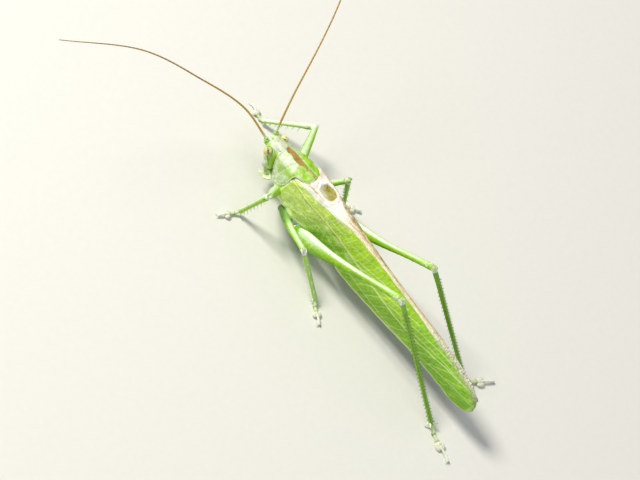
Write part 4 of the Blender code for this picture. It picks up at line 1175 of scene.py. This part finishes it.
class Limb:
    """A leg segment's middle line and the directions across it."""

    def __init__(self, start, end, widths, heights, bow=STRAIGHT, sag=STRAIGHT):
        self.start, self.end = start, end
        self.length = np.linalg.norm(end - start)
        self.along = unit(end - start)
        self.side = unit(np.cross(self.along, UP))
        self.up = np.cross(self.side, self.along)
        self.outward = math.copysign(1.0, self.side[0] * start[0])
        self.widths, self.heights, self.bow, self.sag = widths, heights, bow, sag

    def middle(self, t):
        """The middle line's point at a share of the length, or its points at many."""
        t = np.asarray(t, float)
        return (self.start + np.multiply.outer(t, self.end - self.start)
                + np.multiply.outer(curve_at(self.bow, t) * self.outward, self.side)
                - np.multiply.outer(curve_at(self.sag, t), self.up))

    def rings(self, count, sides):
        """Rings along the limb, rounded off at its ends."""
        made = []
        for t in np.linspace(0, 1, count):
            edge = min(t, 1 - t) * self.length
            rounding = math.sqrt(min(1.0, 0.25 + edge / 0.35))
            made.append(ring(self.middle(t), self.side, self.up,
                             float(curve_at(self.widths, t)) * rounding,
                             float(curve_at(self.heights, t)) * rounding, sides))
        return made

    def of(self, points):
        """Share along the limb, and places across and up, for points near it."""
        t = ((points - self.start) @ self.along) / self.length
        off = points - self.middle(np.clip(t, 0, 1))
        return t, off @ self.side * self.outward, off @ self.up

    def nearness(self, points):
        """How far points are from the middle line, in units of the limb's own size."""
        t, across, high = self.of(points)
        beyond = np.maximum(np.maximum(-t, t - 1), 0) * self.length
        inside = np.clip(t, 0, 1)
        return np.sqrt((across / curve_at(self.widths, inside)) ** 2
                       + (high / curve_at(self.heights, inside)) ** 2 + (beyond / 0.4) ** 2)

    def on_skin(self, t, degrees, sink=0.85):
        """A point just under the skin, and the direction out of it."""
        angle = math.radians(degrees)
        out = (self.side * self.outward * math.sin(angle) * float(curve_at(self.widths, t))
               + self.up * math.cos(angle) * float(curve_at(self.heights, t)))
        return self.middle(t) + out * sink, unit(out)


class Spikes:
    """Many small closed cones in one mesh, each marked along its length."""

    def __init__(self):
        self.clay = Clay()
        self.masks = []

    def add(self, base, tip, radius, pale, dark, dark_from, curl=0.0, sides=7):
        """A slender cone, pale and then dark, whose point may curl downwards."""
        ahead = unit(tip - base)
        side = unit(np.cross(ahead, vec(0.3, 0.2, 1.0)))
        over = np.cross(side, ahead)
        rings = []
        for share, size in SPIKE_STEPS:
            middle = base + (tip - base) * share - UP * curl * share * share
            rings.append(ring(middle, side, over, radius * size, radius * size, sides))
            end = float(between(dark_from, 0.95, share))
            self.masks += [(pale * (1 - end), 0.5 * dark * end, dark * end, 0.0)] * sides
        self.clay.loft(rings)

    def place(self, name, material, slot):
        """The spikes as one piece, none of it below the floor."""
        place(name, above_floor(np.vstack(self.clay.verts)), self.clay.faces, material, (),
              np.array(self.masks).T)


def foot_frame(ankle, toe):
    """A foot's directions and length, and at(), which gives points measured along it."""
    along = unit(vec(toe[0] - ankle[0], toe[1] - ankle[1], 0))
    side = np.cross(along, UP)
    length = np.linalg.norm((toe - ankle)[:2])

    def at(t, across, z):
        return vec(ankle[0], ankle[1], 0) + along * t * length + side * across + UP * z

    return SimpleNamespace(along=along, side=side, length=length, at=at)


def leg_frame(kind, joints):
    """A leg's joints and the limbs between them."""
    hip, knee, ankle, toe = np.array(joints)
    root = np.array(COXA_ROOTS[kind])
    root[0] = math.copysign(root[0], hip[0])
    thick = COXA_SIZES[kind]
    return SimpleNamespace(
        kind=kind, root=root, hip=hip, knee=knee, ankle=ankle, thick=thick,
        coxa=Limb(root, hip, ((0, thick), (1, thick)), ((0, thick), (1, thick))),
        femur=Limb(hip, knee, *FEMUR_SIZES[kind], FEMUR_BOW[kind], FEMUR_SAG[kind]),
        tibia=Limb(knee, ankle, TIBIA_SIZES[kind], TIBIA_SIZES[kind]),
        foot=Limb(ankle, toe, FOOT_WIDTHS, FOOT_HEIGHTS), sole=foot_frame(ankle, toe))


def foot_clay(clay, height, sole):
    """Four joints of a foot: two plain ones, the two-lobed pad and the slender claw joint."""
    at, axes = sole.at, (sole.side, sole.along, UP)
    size = min(1.0, 0.62 + 0.06 * sole.length)
    clay.tube([at(0.02, 0, height - 0.05), at(0.1, 0, 0.72), at(0.2, 0, 0.5)],
              [0.28, 0.3 * size, 0.33 * size], 16)
    clay.tube([at(0.27, 0, 0.42), at(0.33, 0, 0.4), at(0.42, 0, 0.4)],
              [0.27 * size, 0.31 * size, 0.35 * size], 16)
    for across in (0.17, -0.17):
        clay.ball(at(0.19, across * size, 0.26), (0.2 * size, 0.3 * size, 0.26), axes, 14)
        clay.ball(at(0.41, across * size, 0.24), (0.22 * size, 0.3 * size, 0.24), axes, 14)
    clay.tube([at(0.44, 0, 0.44), at(0.5, 0, 0.44)], [0.28 * size, 0.38 * size], 16)
    for across in (0.48, -0.48):
        clay.ball(at(0.545, across * size, 0.34),
                  (0.46 * size, 0.08 * sole.length * size + 0.28, 0.34), axes, 18)
    claw_joint = [at(0.52, 0, 0.5), at(0.66, 0, 0.6), at(0.8, 0, 0.56), at(0.9, 0, 0.46),
                  at(0.955, 0, 0.38)]
    clay.tube(claw_joint, [0.22, 0.21, 0.21, 0.24, 0.27])


def leg_clay(bones):
    """A leg from its coxa to its foot."""
    clay = Clay()
    inward = unit(bones.root - bones.hip)
    clay.tube([bones.root + inward * 0.25, bones.root, bones.hip + inward * 0.3],
              [bones.thick * 1.1, bones.thick * 1.05, bones.thick * 0.8], 22)
    clay.ball(bones.hip, (0.64, 0.64, 0.66))
    if bones.kind == "fore":
        clay.ball((bones.hip + bones.root) / 2 + (0, 0.1, 0.1), (0.85, 0.8, 0.8))
    clay.tube([bones.hip, bones.femur.middle(0.03)], [0.52, 0.5], 20)
    clay.loft(bones.femur.rings(count=60, sides=26))
    axes = (bones.femur.side, bones.femur.along, bones.femur.up)
    for across in (1, -1):                       # lobes that clasp the knee
        lobe = bones.knee + bones.femur.side * across * 0.3 + bones.femur.along * 0.1
        clay.ball(lobe, (0.17, 0.52, 0.45), axes, 16)
    kneecap = bones.knee + bones.femur.along * 0.05 + bones.femur.up * 0.12
    clay.ball(kneecap, (0.36, 0.42, 0.4), axes, 16)
    clay.ball(bones.knee + bones.tibia.along * 0.12, (0.33, 0.36, 0.36))
    clay.loft(bones.tibia.rings(count=50, sides=20))
    clay.ball(bones.ankle - bones.tibia.along * 0.05, (0.36, 0.36, 0.34))
    foot_clay(clay, bones.ankle[2], bones.sole)
    return clay


def leg_places(bones, verts, faces):
    """Each point of a leg's skin: the part it is on, and where on that part it lies."""
    limbs = (bones.coxa, bones.femur, bones.tibia, bones.foot)
    parts = np.argmin([limb.nearness(verts) for limb in limbs], axis=0)
    on_coxa, on_femur, on_tibia, on_foot = ((parts == k) * 1.0 for k in range(4))
    t, across, high = bones.femur.of(verts)
    tibia_t, tibia_across, tibia_high = bones.tibia.of(verts)
    slit = np.hypot((tibia_t - 0.135) * bones.tibia.length / 0.42, tibia_high / 0.09)
    return SimpleNamespace(
        verts=verts, normal=normals_of(verts, faces), on_coxa=on_coxa, on_femur=on_femur,
        on_tibia=on_tibia, on_foot=on_foot, t=t, high=high,
        turn=np.degrees(np.arctan2(across, high)),          # 0 on top, 90 on the outer side
        tibia_t=tibia_t, tibia_across=tibia_across, tibia_high=tibia_high, slit=slit)


def leg_relief(bones, skin):
    """Ribs, keels and the slit of the fore leg's ear, in mm."""
    if bones.kind == "hind":        # hardly visible slanting ribs over the thick part, and a keel
        ribs = np.sin((skin.t * bones.femur.length - np.abs(skin.high) * 0.9) * 2 * math.pi / 0.62)
        thick_part = (between(0.55, 0.4, skin.t) * between(0.04, 0.1, skin.t)
                      * (np.abs(skin.high) < 1.5))
        keel = 0.03 * bell(skin.turn - 38, 12) * between(0.95, 0.85, skin.t)
        on_femur = 0.004 * ribs * thick_part + keel
    else:
        on_femur = 0.02 * bell(skin.turn - 30, 14)
    ridge = bell(np.degrees(np.arctan2(np.abs(skin.tibia_across), skin.tibia_high)) - 38, 14)
    on_tibia = 0.035 * ridge * between(0.05, 0.15, skin.tibia_t)
    if bones.kind == "fore":
        on_tibia = on_tibia - 0.09 * between(1.1, 0.7, skin.slit)
    return (on_femur * skin.on_femur + on_tibia * skin.on_tibia
            + 0.008 * value_noise(skin.verts, 0.3, 31))


def femur_painted_highlight(bones, skin, crumb):
    """A painted highlight: the pale line along the side of a femur that faces the light."""
    glint = unit(HIGHLIGHT_SIDE - bones.femur.along * (HIGHLIGHT_SIDE @ bones.femur.along))
    facing = skin.normal @ glint
    if bones.kind == "hind":
        # a wider painted highlight near the hind femur's hip
        painted_lighting_near_hip = between(0.4, 0.15, skin.t) * between(0.3, 0.75, facing + 0.25 * crumb)
        line = between(0.64, 0.96, facing + 0.06 * crumb) * between(1.0, 0.86, skin.t)
        shine = strongest(line, 0.55 * painted_lighting_near_hip)
        shine = shine * (1 - between(0.4, 0.8, skin.t) * (0.25 + 0.3 * between(-0.1, 0.4, crumb)))
    else:
        shine = 0.6 * between(0.6, 0.95, facing + 0.1 * crumb)
    return shine * (0.9 + 0.1 * between(-0.3, 0.3, crumb)) * skin.on_femur


def leg_marks(bones, skin, verts):
    """Pale, brown, dark and deep green of a leg."""
    fore, middle, hind = (bones.kind == kind for kind in ("fore", "middle", "hind"))
    lit_fore = fore and bones.hip[0] < 0
    wander, crumb = value_noise(verts, 0.5, 32), value_noise(verts, 0.22, 34)
    dots = between(0.25, 0.6, value_noise(verts, 0.2, 33))
    from_knee = from_point(verts, bones.knee + bones.tibia.along * 0.22 - bones.femur.up * 0.05)
    clasp = bell(from_knee - 0.8, 0.08) * skin.on_femur * (not fore)
    foot_t = bones.foot.of(verts)[0]
    pad = between(0.4, 0.46, foot_t) * between(0.72, 0.64, foot_t)
    gaps = bell(foot_t - 0.23, 0.02) + bell(foot_t - 0.42, 0.02)
    tibia_turn = np.degrees(np.arctan2(skin.tibia_across, skin.tibia_high))
    # painted shade over the middle femur's half near the hip
    painted_lighting_near_hip = middle * skin.on_femur * between(0.5, 0.3, skin.t)
    # At the hind leg's hip a knob is painted white as a highlight, with painted shade dark round
    # it, and then comes a green lump.
    from_knob = from_point(verts, bones.hip + UP * 0.55 - bones.femur.along * 0.15)
    lump = hind * between(0.09, 0.05, skin.t) * skin.on_femur
    pale = strongest(
        femur_painted_highlight(bones, skin, crumb),
        between(0.78, 0.6, from_knee + 0.08 * wander),
        TIBIA_SHEEN[bones.kind] * bell(tibia_turn - 10, 40) * skin.on_tibia,
        # the lit fore-right tibia: a mottled painted highlight over its top
        0.95 * lit_fore * bell(tibia_turn, 60) * skin.on_tibia * between(-0.9, -0.1, crumb),
        # pale mottling on the coxa: painted highlights
        (0.35 + 0.4 * between(-0.2, 0.4, wander)) * skin.on_coxa,
        skin.on_foot * (0.5 + 0.5 * strongest(pad, between(0.6, 0.7, foot_t))),
        0.6 * between(0.89, 0.95, skin.t) * skin.on_femur * between(-0.2, 0.3, crumb))
    pale = strongest(pale * (1 - 0.75 * painted_lighting_near_hip) * (1 - lump),
                     hind * between(0.42, 0.3, from_knob))
    third = strongest(
        0.28 * skin.on_foot * (0.5 + 0.5 * pad),
        0.6 * clasp * between(-0.3, 0.3, crumb))
    dark = strongest(
        0.45 * gaps * skin.on_foot,
        0.5 * clasp * between(0.0, 0.5, crumb),
        0.75 * hind * bell(from_knob - 0.56, 0.12),
        0.6 * fore * between(1.1, 0.8, skin.slit) * skin.on_tibia)
    deep = strongest(
        hind * skin.on_tibia * (0.3 * dots + 0.7),
        # deeper green over the lower side of each femur: painted shade
        0.6 * skin.on_femur * between(80, 130, np.abs(skin.turn)),
        0.8 * painted_lighting_near_hip,
        # more of it low on the hind femur's outer side: painted shade
        0.6 * hind * skin.on_femur * between(50, 85, skin.turn) * between(-0.5, 0.2, wander),
        0.6 * bell(from_point(verts, bones.hip) - 0.66, 0.1),
        0.9 * lump)
    return pale, third, dark, deep


def leg_spines(name, bones, material):
    """Rows of spines on a tibia, teeth under the femur and spurs at the ankle."""
    spines = Spikes()
    for limb, rows in ((bones.tibia, SPINE_ROWS[bones.kind]),
                       (bones.femur, FEMUR_TEETH[bones.kind])):
        for degrees, first, last, count, length, radius, lean in rows:
            for k, t in enumerate(np.linspace(first, last, count)):
                base, out = limb.on_skin(t, degrees)
                reach = length * (1 + 0.12 * math.sin(k * 2.4 + degrees))
                tip = base + (out + limb.along * lean) * reach / math.hypot(1, lean)
                spines.add(base, tip, radius, *SPINE_LOOKS[bones.kind])
    for degrees, length in SPURS[bones.kind]:
        base, out = bones.tibia.on_skin(0.98, degrees, 0.7)
        tip = base + (out * 0.8 + bones.tibia.along * 0.7) * length
        spines.add(base, tip, 0.22, 1.0, 0.8, 0.8)
    spines.place(f"spines_{name}", material, "leg_green")


def leg_claws(name, bones, material):
    """The two curved claws of a foot."""
    claws = Spikes()
    for across in (1, -1):
        base = bones.sole.at(0.95, across * 0.1, 0.4)
        tip = bones.sole.at(0.95, across * 0.42, 0.3) + bones.sole.along * 0.42
        claws.add(base, tip, 0.1, 0.6, 0.7, 0.6, curl=0.22, sides=9)
    claws.place(f"claws_{name}", material, "foot_pale")


def leg(name, joints, material):
    """One leg from its coxa to its foot under one skin, with its spines and claws."""
    bones = leg_frame(name.split("_")[0], joints)
    verts, faces = leg_clay(bones).skin(LEG_VOXELS[bones.kind])
    verts = above_floor(verts)
    skin = leg_places(bones, verts, faces)
    verts = above_floor(verts + skin.normal * leg_relief(bones, skin)[:, None])
    place(f"leg_{name}", verts, faces, material,
          tuple(f"{name}_{part}" for part in ("coxa", "femur", "tibia", "foot")),
          leg_marks(bones, skin, verts))
    leg_spines(name, bones, material)
    leg_claws(name, bones, material)


# ---------------------------------------------------------------- trunk

NECK_THORAX = (            # (y, half-width, lowest z, highest z)
    (-6.3, 1.35, 4.9, 9.4), (-4.6, 1.7, 4.4, 10.1), (-3.2, 1.75, 3.9, 10.2), (-2.2, 1.8, 3.5, 10.2),
    (-0.6, 1.85, 2.9, 10.1), (2.0, 1.85, 2.5, 9.7), (4.4, 1.75, 2.4, 9.3), (5.6, 1.6, 2.4, 9.1),
)
ABDOMEN = (
    (5.0, 1.55, 2.5, 9.1), (7.0, 1.6, 2.3, 9.1), (9.5, 1.62, 2.35, 9.1), (12.0, 1.6, 2.5, 9.0),
    (14.8, 1.55, 2.8, 8.8), (17.5, 1.45, 3.3, 8.6), (20.0, 1.35, 3.9, 8.3), (22.0, 1.15, 4.9, 8.0),
    (23.0, 0.85, 5.6, 7.6), (23.4, 0.45, 6.2, 7.2),
)
TAIL_PLATE = ((20.0, 0.7, 3.5, 4.6), (21.4, 1.0, 3.2, 4.8), (22.6, 1.0, 3.55, 4.9),
              (24.0, 0.85, 4.05, 4.95), (24.5, 0.6, 4.3, 4.85))
TRUNK_LUMPS = (            # (centre, radii) on the left
    ((1.55, -4.2, 5.0), (0.75, 1.0, 1.1)), ((1.7, -0.9, 3.9), (0.85, 1.1, 1.5)),
    ((1.8, 0.9, 3.4), (0.9, 0.95, 1.3)), ((1.95, 2.4, 3.7), (0.75, 1.0, 1.5)),
    ((1.95, 3.9, 3.2), (0.95, 1.1, 1.2)), ((1.6, -2.3, 5.8), (0.6, 0.7, 1.5)),
    ((1.8, 5.6, 3.6), (0.6, 1.0, 1.0)), ((2.35, 3.0, 2.9), (0.4, 0.4, 0.45)),
    ((2.45, 3.76, 2.45), (0.3, 0.28, 0.28)), ((2.3, 4.6, 3.0), (0.5, 0.55, 0.5)),
    ((1.7, -1.9, 9.9), (0.55, 1.1, 0.8)), ((1.0, -3.4, 3.7), (0.7, 0.9, 0.7)),
    ((1.0, 0.6, 2.3), (0.9, 1.0, 0.7)), ((1.0, 3.5, 2.1), (0.9, 1.1, 0.7)),
)
TAIL_TUBES = (             # the cercus, its tooth and the stylus: (points, radii, points a ring)
    (((0.7, 22.4, 6.5), (0.85, 24.0, 6.45), (1.05, 26.2, 6.6)), (0.34, 0.3, 0.16), 16),
    (((0.86, 24.4, 6.5), (0.55, 24.9, 6.45)), (0.16, 0.08), 12),
    (((0.5, 24.2, 4.5), (0.62, 25.0, 4.75)), (0.13, 0.1), 10),
)
# By y, the height of the fold between the abdomen's back and belly.
FOLD_HEIGHT = ((5, 4.4), (12, 4.3), (18, 4.7), (23, 6.0))
# Seams between the side plates of the thorax, in (y, z).
SEAMS = (((-1.9, 6.9), (-1.6, 5.2), (-1.9, 3.8)), ((0.2, 7.0), (-0.1, 5.0), (0.5, 2.9)),
         ((1.9, 7.0), (1.6, 5.0), (1.9, 2.8)), ((3.9, 6.8), (3.2, 5.0), (3.6, 2.7)),
         ((4.9, 6.5), (4.9, 4.5), (4.6, 2.6)), ((-3.4, 6.5), (-3.3, 5.4), (-2.9, 4.4)))
# The knob by the hind hip: painted white as a highlight, with painted shade round it.
HIP_KNOB = (2.6, 3.76, 2.4)
TRUNK_SIDES = 40
ABDOMEN_START = 5.2
ABDOMEN_STEP = 1.95        # length of one of the abdomen's rings


def trunk_rings(sections, count, power):
    """Rings along the trunk from (y, half-width, lowest z, highest z) sections."""
    return [upright_ring(y, *section_at(sections, y), TRUNK_SIDES, power)
            for y in np.linspace(sections[0][0], sections[-1][0], count)]


def trunk_clay():
    """Neck, thorax, abdomen, cerci and the plate below the tail."""
    clay = Clay()
    clay.loft(trunk_rings(NECK_THORAX, count=30, power=2.3))
    clay.loft(trunk_rings(ABDOMEN, count=50, power=2.15))
    for side in (1, -1):
        for centre, radii in TRUNK_LUMPS:
            clay.ball(to_side(centre, side), radii)
        for points, radii, count in TAIL_TUBES:
            clay.tube(to_side(points, side), radii, count)
    clay.loft([upright_ring(*section, 26) for section in TAIL_PLATE])
    return clay


def trunk_places(verts):
    """Each point of the trunk's skin: where it lies, and what it is near."""
    x, y, z = np.abs(verts[:, 0]), verts[:, 1], verts[:, 2]
    on_plan = np.stack((y, z), axis=1)
    seams = strongest(*(bell(near_line(on_plan, line), 0.1) for line in SEAMS))
    return SimpleNamespace(
        verts=verts, x=x, y=y, z=z, seams=seams * between(0.9, 1.2, x) * between(5.3, 4.9, y),
        tail=between(5.0, 5.8, y) * between(23.2, 22.4, y),
        step=(y - ABDOMEN_START) / ABDOMEN_STEP % 1,        # 0 to 1 along each ring
        over_fold=z - curve_at(FOLD_HEIGHT, y),
        from_knob=from_point(np.stack((x, y, z), axis=1), HIP_KNOB))


def trunk_relief(skin):
    """Rings that overlap backwards, the fold between back and belly, and seams, in mm."""
    lapped = 0.09 * (skin.step ** 1.5 - 0.4) * between(1.0, 0.9, skin.step)
    fold = 0.05 * bell(skin.over_fold - 0.5, 0.3) - 0.14 * bell(skin.over_fold, 0.16)
    return ((lapped + fold) * skin.tail - 0.12 * skin.seams
            + 0.015 * value_noise(skin.verts, 0.5, 41))


def trunk_marks(skin, verts):
    """Pale, brown, dark and deep green of the trunk."""
    wander = value_noise(verts, 0.7, 42)
    pale = strongest(
        # pale mottling over the neck and thorax: painted highlights
        (0.3 + 0.55 * between(-0.3, 0.4, wander)) * between(6.4, 5.4, skin.y),
        0.6 * bell(skin.over_fold, 0.3) * skin.tail,
        0.35 * between(0.2, -0.2, skin.over_fold) * skin.tail * between(0.9, 0.4, skin.x),
        0.45 * between(0.9, 1.0, skin.step) * skin.tail,
        # painted highlight on the knob by the hind hip
        between(0.36, 0.24, skin.from_knob))
    brown = 0.7 * between(0.5, 0.25, skin.x) * between(8.0, 8.6, skin.z) * between(5.0, 6.0, skin.y)
    deep = strongest(0.7 * skin.seams, 0.3 * between(0.3, 0.0, skin.step) * skin.tail)
    # dark round the knob by the hind hip: painted shade
    return pale, brown, 0.75 * bell(skin.from_knob - 0.52, 0.13), deep


def trunk(material):
    """Neck, winged thorax and abdomen under one skin, with its plates, folds and tail."""
    verts, faces = trunk_clay().skin(voxel=0.1, rounds=3)
    skin = trunk_places(verts)
    verts = verts + normals_of(verts, faces) * trunk_relief(skin)[:, None]
    place("trunk_skin", verts, faces, material,
          ("neck", "thorax", "abdomen_1", "abdomen_2", "abdomen_3", "subgenital_plate",
           "cercus_left", "cercus_right"), trunk_marks(skin, verts))


# ---------------------------------------------------------------- hind wings

HINDWING_LOW = ((33, 7.0), (36, 6.6), (38, 6.2), (41, 6.1), (43.4, 6.2), (44.6, 6.5), (45, 6.65))
HINDWING_HIGH = ((33, 7.4), (36, 7.6), (38, 8.0), (41, 7.5), (43.4, 7.1), (44.6, 7.0), (45, 6.9))
HINDWING_PLEATS = 4
HINDWING_ROWS = 120
HINDWING_COLUMNS = 36


def hindwing(side, word, material):
    """A folded hind wing whose thin edge shows just past the forewing's tip."""
    y, q = np.meshgrid(np.linspace(HINDWING_LOW[0][0], HINDWING_LOW[-1][0], HINDWING_ROWS),
                       np.linspace(0, 1, HINDWING_COLUMNS), indexing="ij")
    low, high = curve_at(HINDWING_LOW, y), curve_at(HINDWING_HIGH, y)
    pleat = 0.045 * np.sin(q * 2 * math.pi * HINDWING_PLEATS) * between(45.0, 44.0, y)
    grid = np.stack((side * (0.33 + pleat), y, low + (high - low) * q), axis=-1)
    verts, faces = plate(grid, 0.1 * side)
    strip = q.ravel() * 2 * HINDWING_PLEATS
    veins = bell(strip % 1 - 0.5, 0.1)
    cross = bell((y.ravel() * 1.6 + np.floor(strip) * 0.37) % 1 - 0.5, 0.06)
    place(f"hindwing_fold_{word}", verts, faces, material,
          (f"hindwing_{word}",), (0.5, 0.5 * strongest(veins, 0.6 * cross), 0, 0))


# ---------------------------------------------------------------- camera, light and floor

TARGET = (vec(0.0, 7.862, 1.708) + SHIFT) * MM
CAMERA_DISTANCE = 0.45     # metres from the target
FLOOR_RADIUS = 1.2


def camera():
    """The photo's camera."""
    data = bpy.data.cameras.new("camera")
    data.sensor_width = 36.0
    data.lens = 151.37
    data.clip_start = 0.01
    made = link("camera", data)
    columns = (VIEW_RIGHT, VIEW_UP, VIEW_BACK, TARGET + VIEW_BACK * CAMERA_DISTANCE)
    made.matrix_world = Matrix([*np.column_stack(columns).tolist(), (0, 0, 0, 1)])
    bpy.context.scene.camera = made


def ground():
    """A pale, matt, round floor."""
    bm = bmesh.new()
    bmesh.ops.create_circle(bm, cap_ends=True, segments=96, radius=FLOOR_RADIUS)
    mesh = bpy.data.meshes.new("floor")
    bm.to_mesh(mesh)
    bm.free()
    n = Nodes("floor")
    tint = n.mix(n.noise(900.0, 4.0), colour(0.74, 0.74, 0.72), colour(0.78, 0.78, 0.76))
    mesh.materials.append(n.finish(tint, 0.75, specular=0.2))
    floor = link("floor", mesh)


def softbox(name, towards, distance, size, power, tint=(1, 1, 1)):
    """A round soft light that shines at the target from one direction."""
    light = bpy.data.lights.new(name, "AREA")
    light.shape = "DISK"
    light.size = size
    light.energy = power
    light.color = tint
    direction = unit(vec(*towards))
    made = link(name, light)
    made.location = TARGET + direction * distance
    made.rotation_euler = Vector(direction).to_track_quat("Z", "Y").to_euler()


def lights():
    """A big soft key from in front, two fills and a faint sky."""
    softbox("key", (0.25, -0.75, 0.8), 0.6, 0.17, 3.9, (1.0, 0.96, 0.84))
    softbox("fill", (-0.9, 0.4, 0.7), 0.7, 0.5, 0.45, (0.95, 0.98, 1.0))
    softbox("top", (0.2, 0.3, 1.0), 0.7, 0.5, 0.8)
    world = bpy.data.worlds.new("studio")
    world.use_nodes = True
    sky = world.node_tree.nodes["Background"]
    sky.inputs["Color"].default_value = colour(0.96, 0.98, 1.0)
    sky.inputs["Strength"].default_value = 0.26
    bpy.context.scene.world = world
    bpy.context.scene.view_settings.view_transform = "Standard"


camera()
ground()
lights()
WING = wing_material()
BODY = cuticle("body_green", colour(0.40, 0.66, 0.05), colour(0.17, 0.44, 0.012),
               pale=colour(0.72, 0.77, 0.71), third=colour(0.42, 0.12, 0.06))
FACE = cuticle("face_green", colour(0.42, 0.66, 0.12), colour(0.14, 0.33, 0.02))
EYE = cuticle("eye_cream", colour(0.70, 0.64, 0.20), colour(0.30, 0.50, 0.05),
              third=colour(0.42, 0.24, 0.06), dark=colour(0.03, 0.02, 0.006), rough=0.25, coat=0.2,
              pits=26000.0, pit_depth=0.000008, fleck=0.15, specular=0.4)
LEG = cuticle("leg_green", colour(0.36, 0.66, 0.025), colour(0.17, 0.43, 0.006),
              pale=colour(0.86, 0.94, 0.88), third=colour(0.45, 0.22, 0.07))
HIND = cuticle("hindwing_pale", colour(0.60, 0.66, 0.36), colour(0.42, 0.52, 0.22), rough=0.35)
WHIP = cuticle("antenna_brown", colour(0.52, 0.27, 0.06), colour(0.30, 0.50, 0.05),
               third=colour(0.25, 0.13, 0.05), dark=colour(0.10, 0.05, 0.02), fleck=0.1)
for side, word in SIDES:
    forewing(side, word, WING)
pronotum(BODY)
head(BODY)
eyes(EYE)
lip(FACE)
for side, word in SIDES:
    jaws(side, word, FACE)
    palps(side, word, FACE)
for side, word in SIDES:
    feeler_root(word, BODY)
    feeler_whip(word, WHIP)
for name, joints in LEGS.items():
    leg(name, joints, LEG)
trunk(BODY)
for side, word in SIDES:
    hindwing(side, word, HIND)
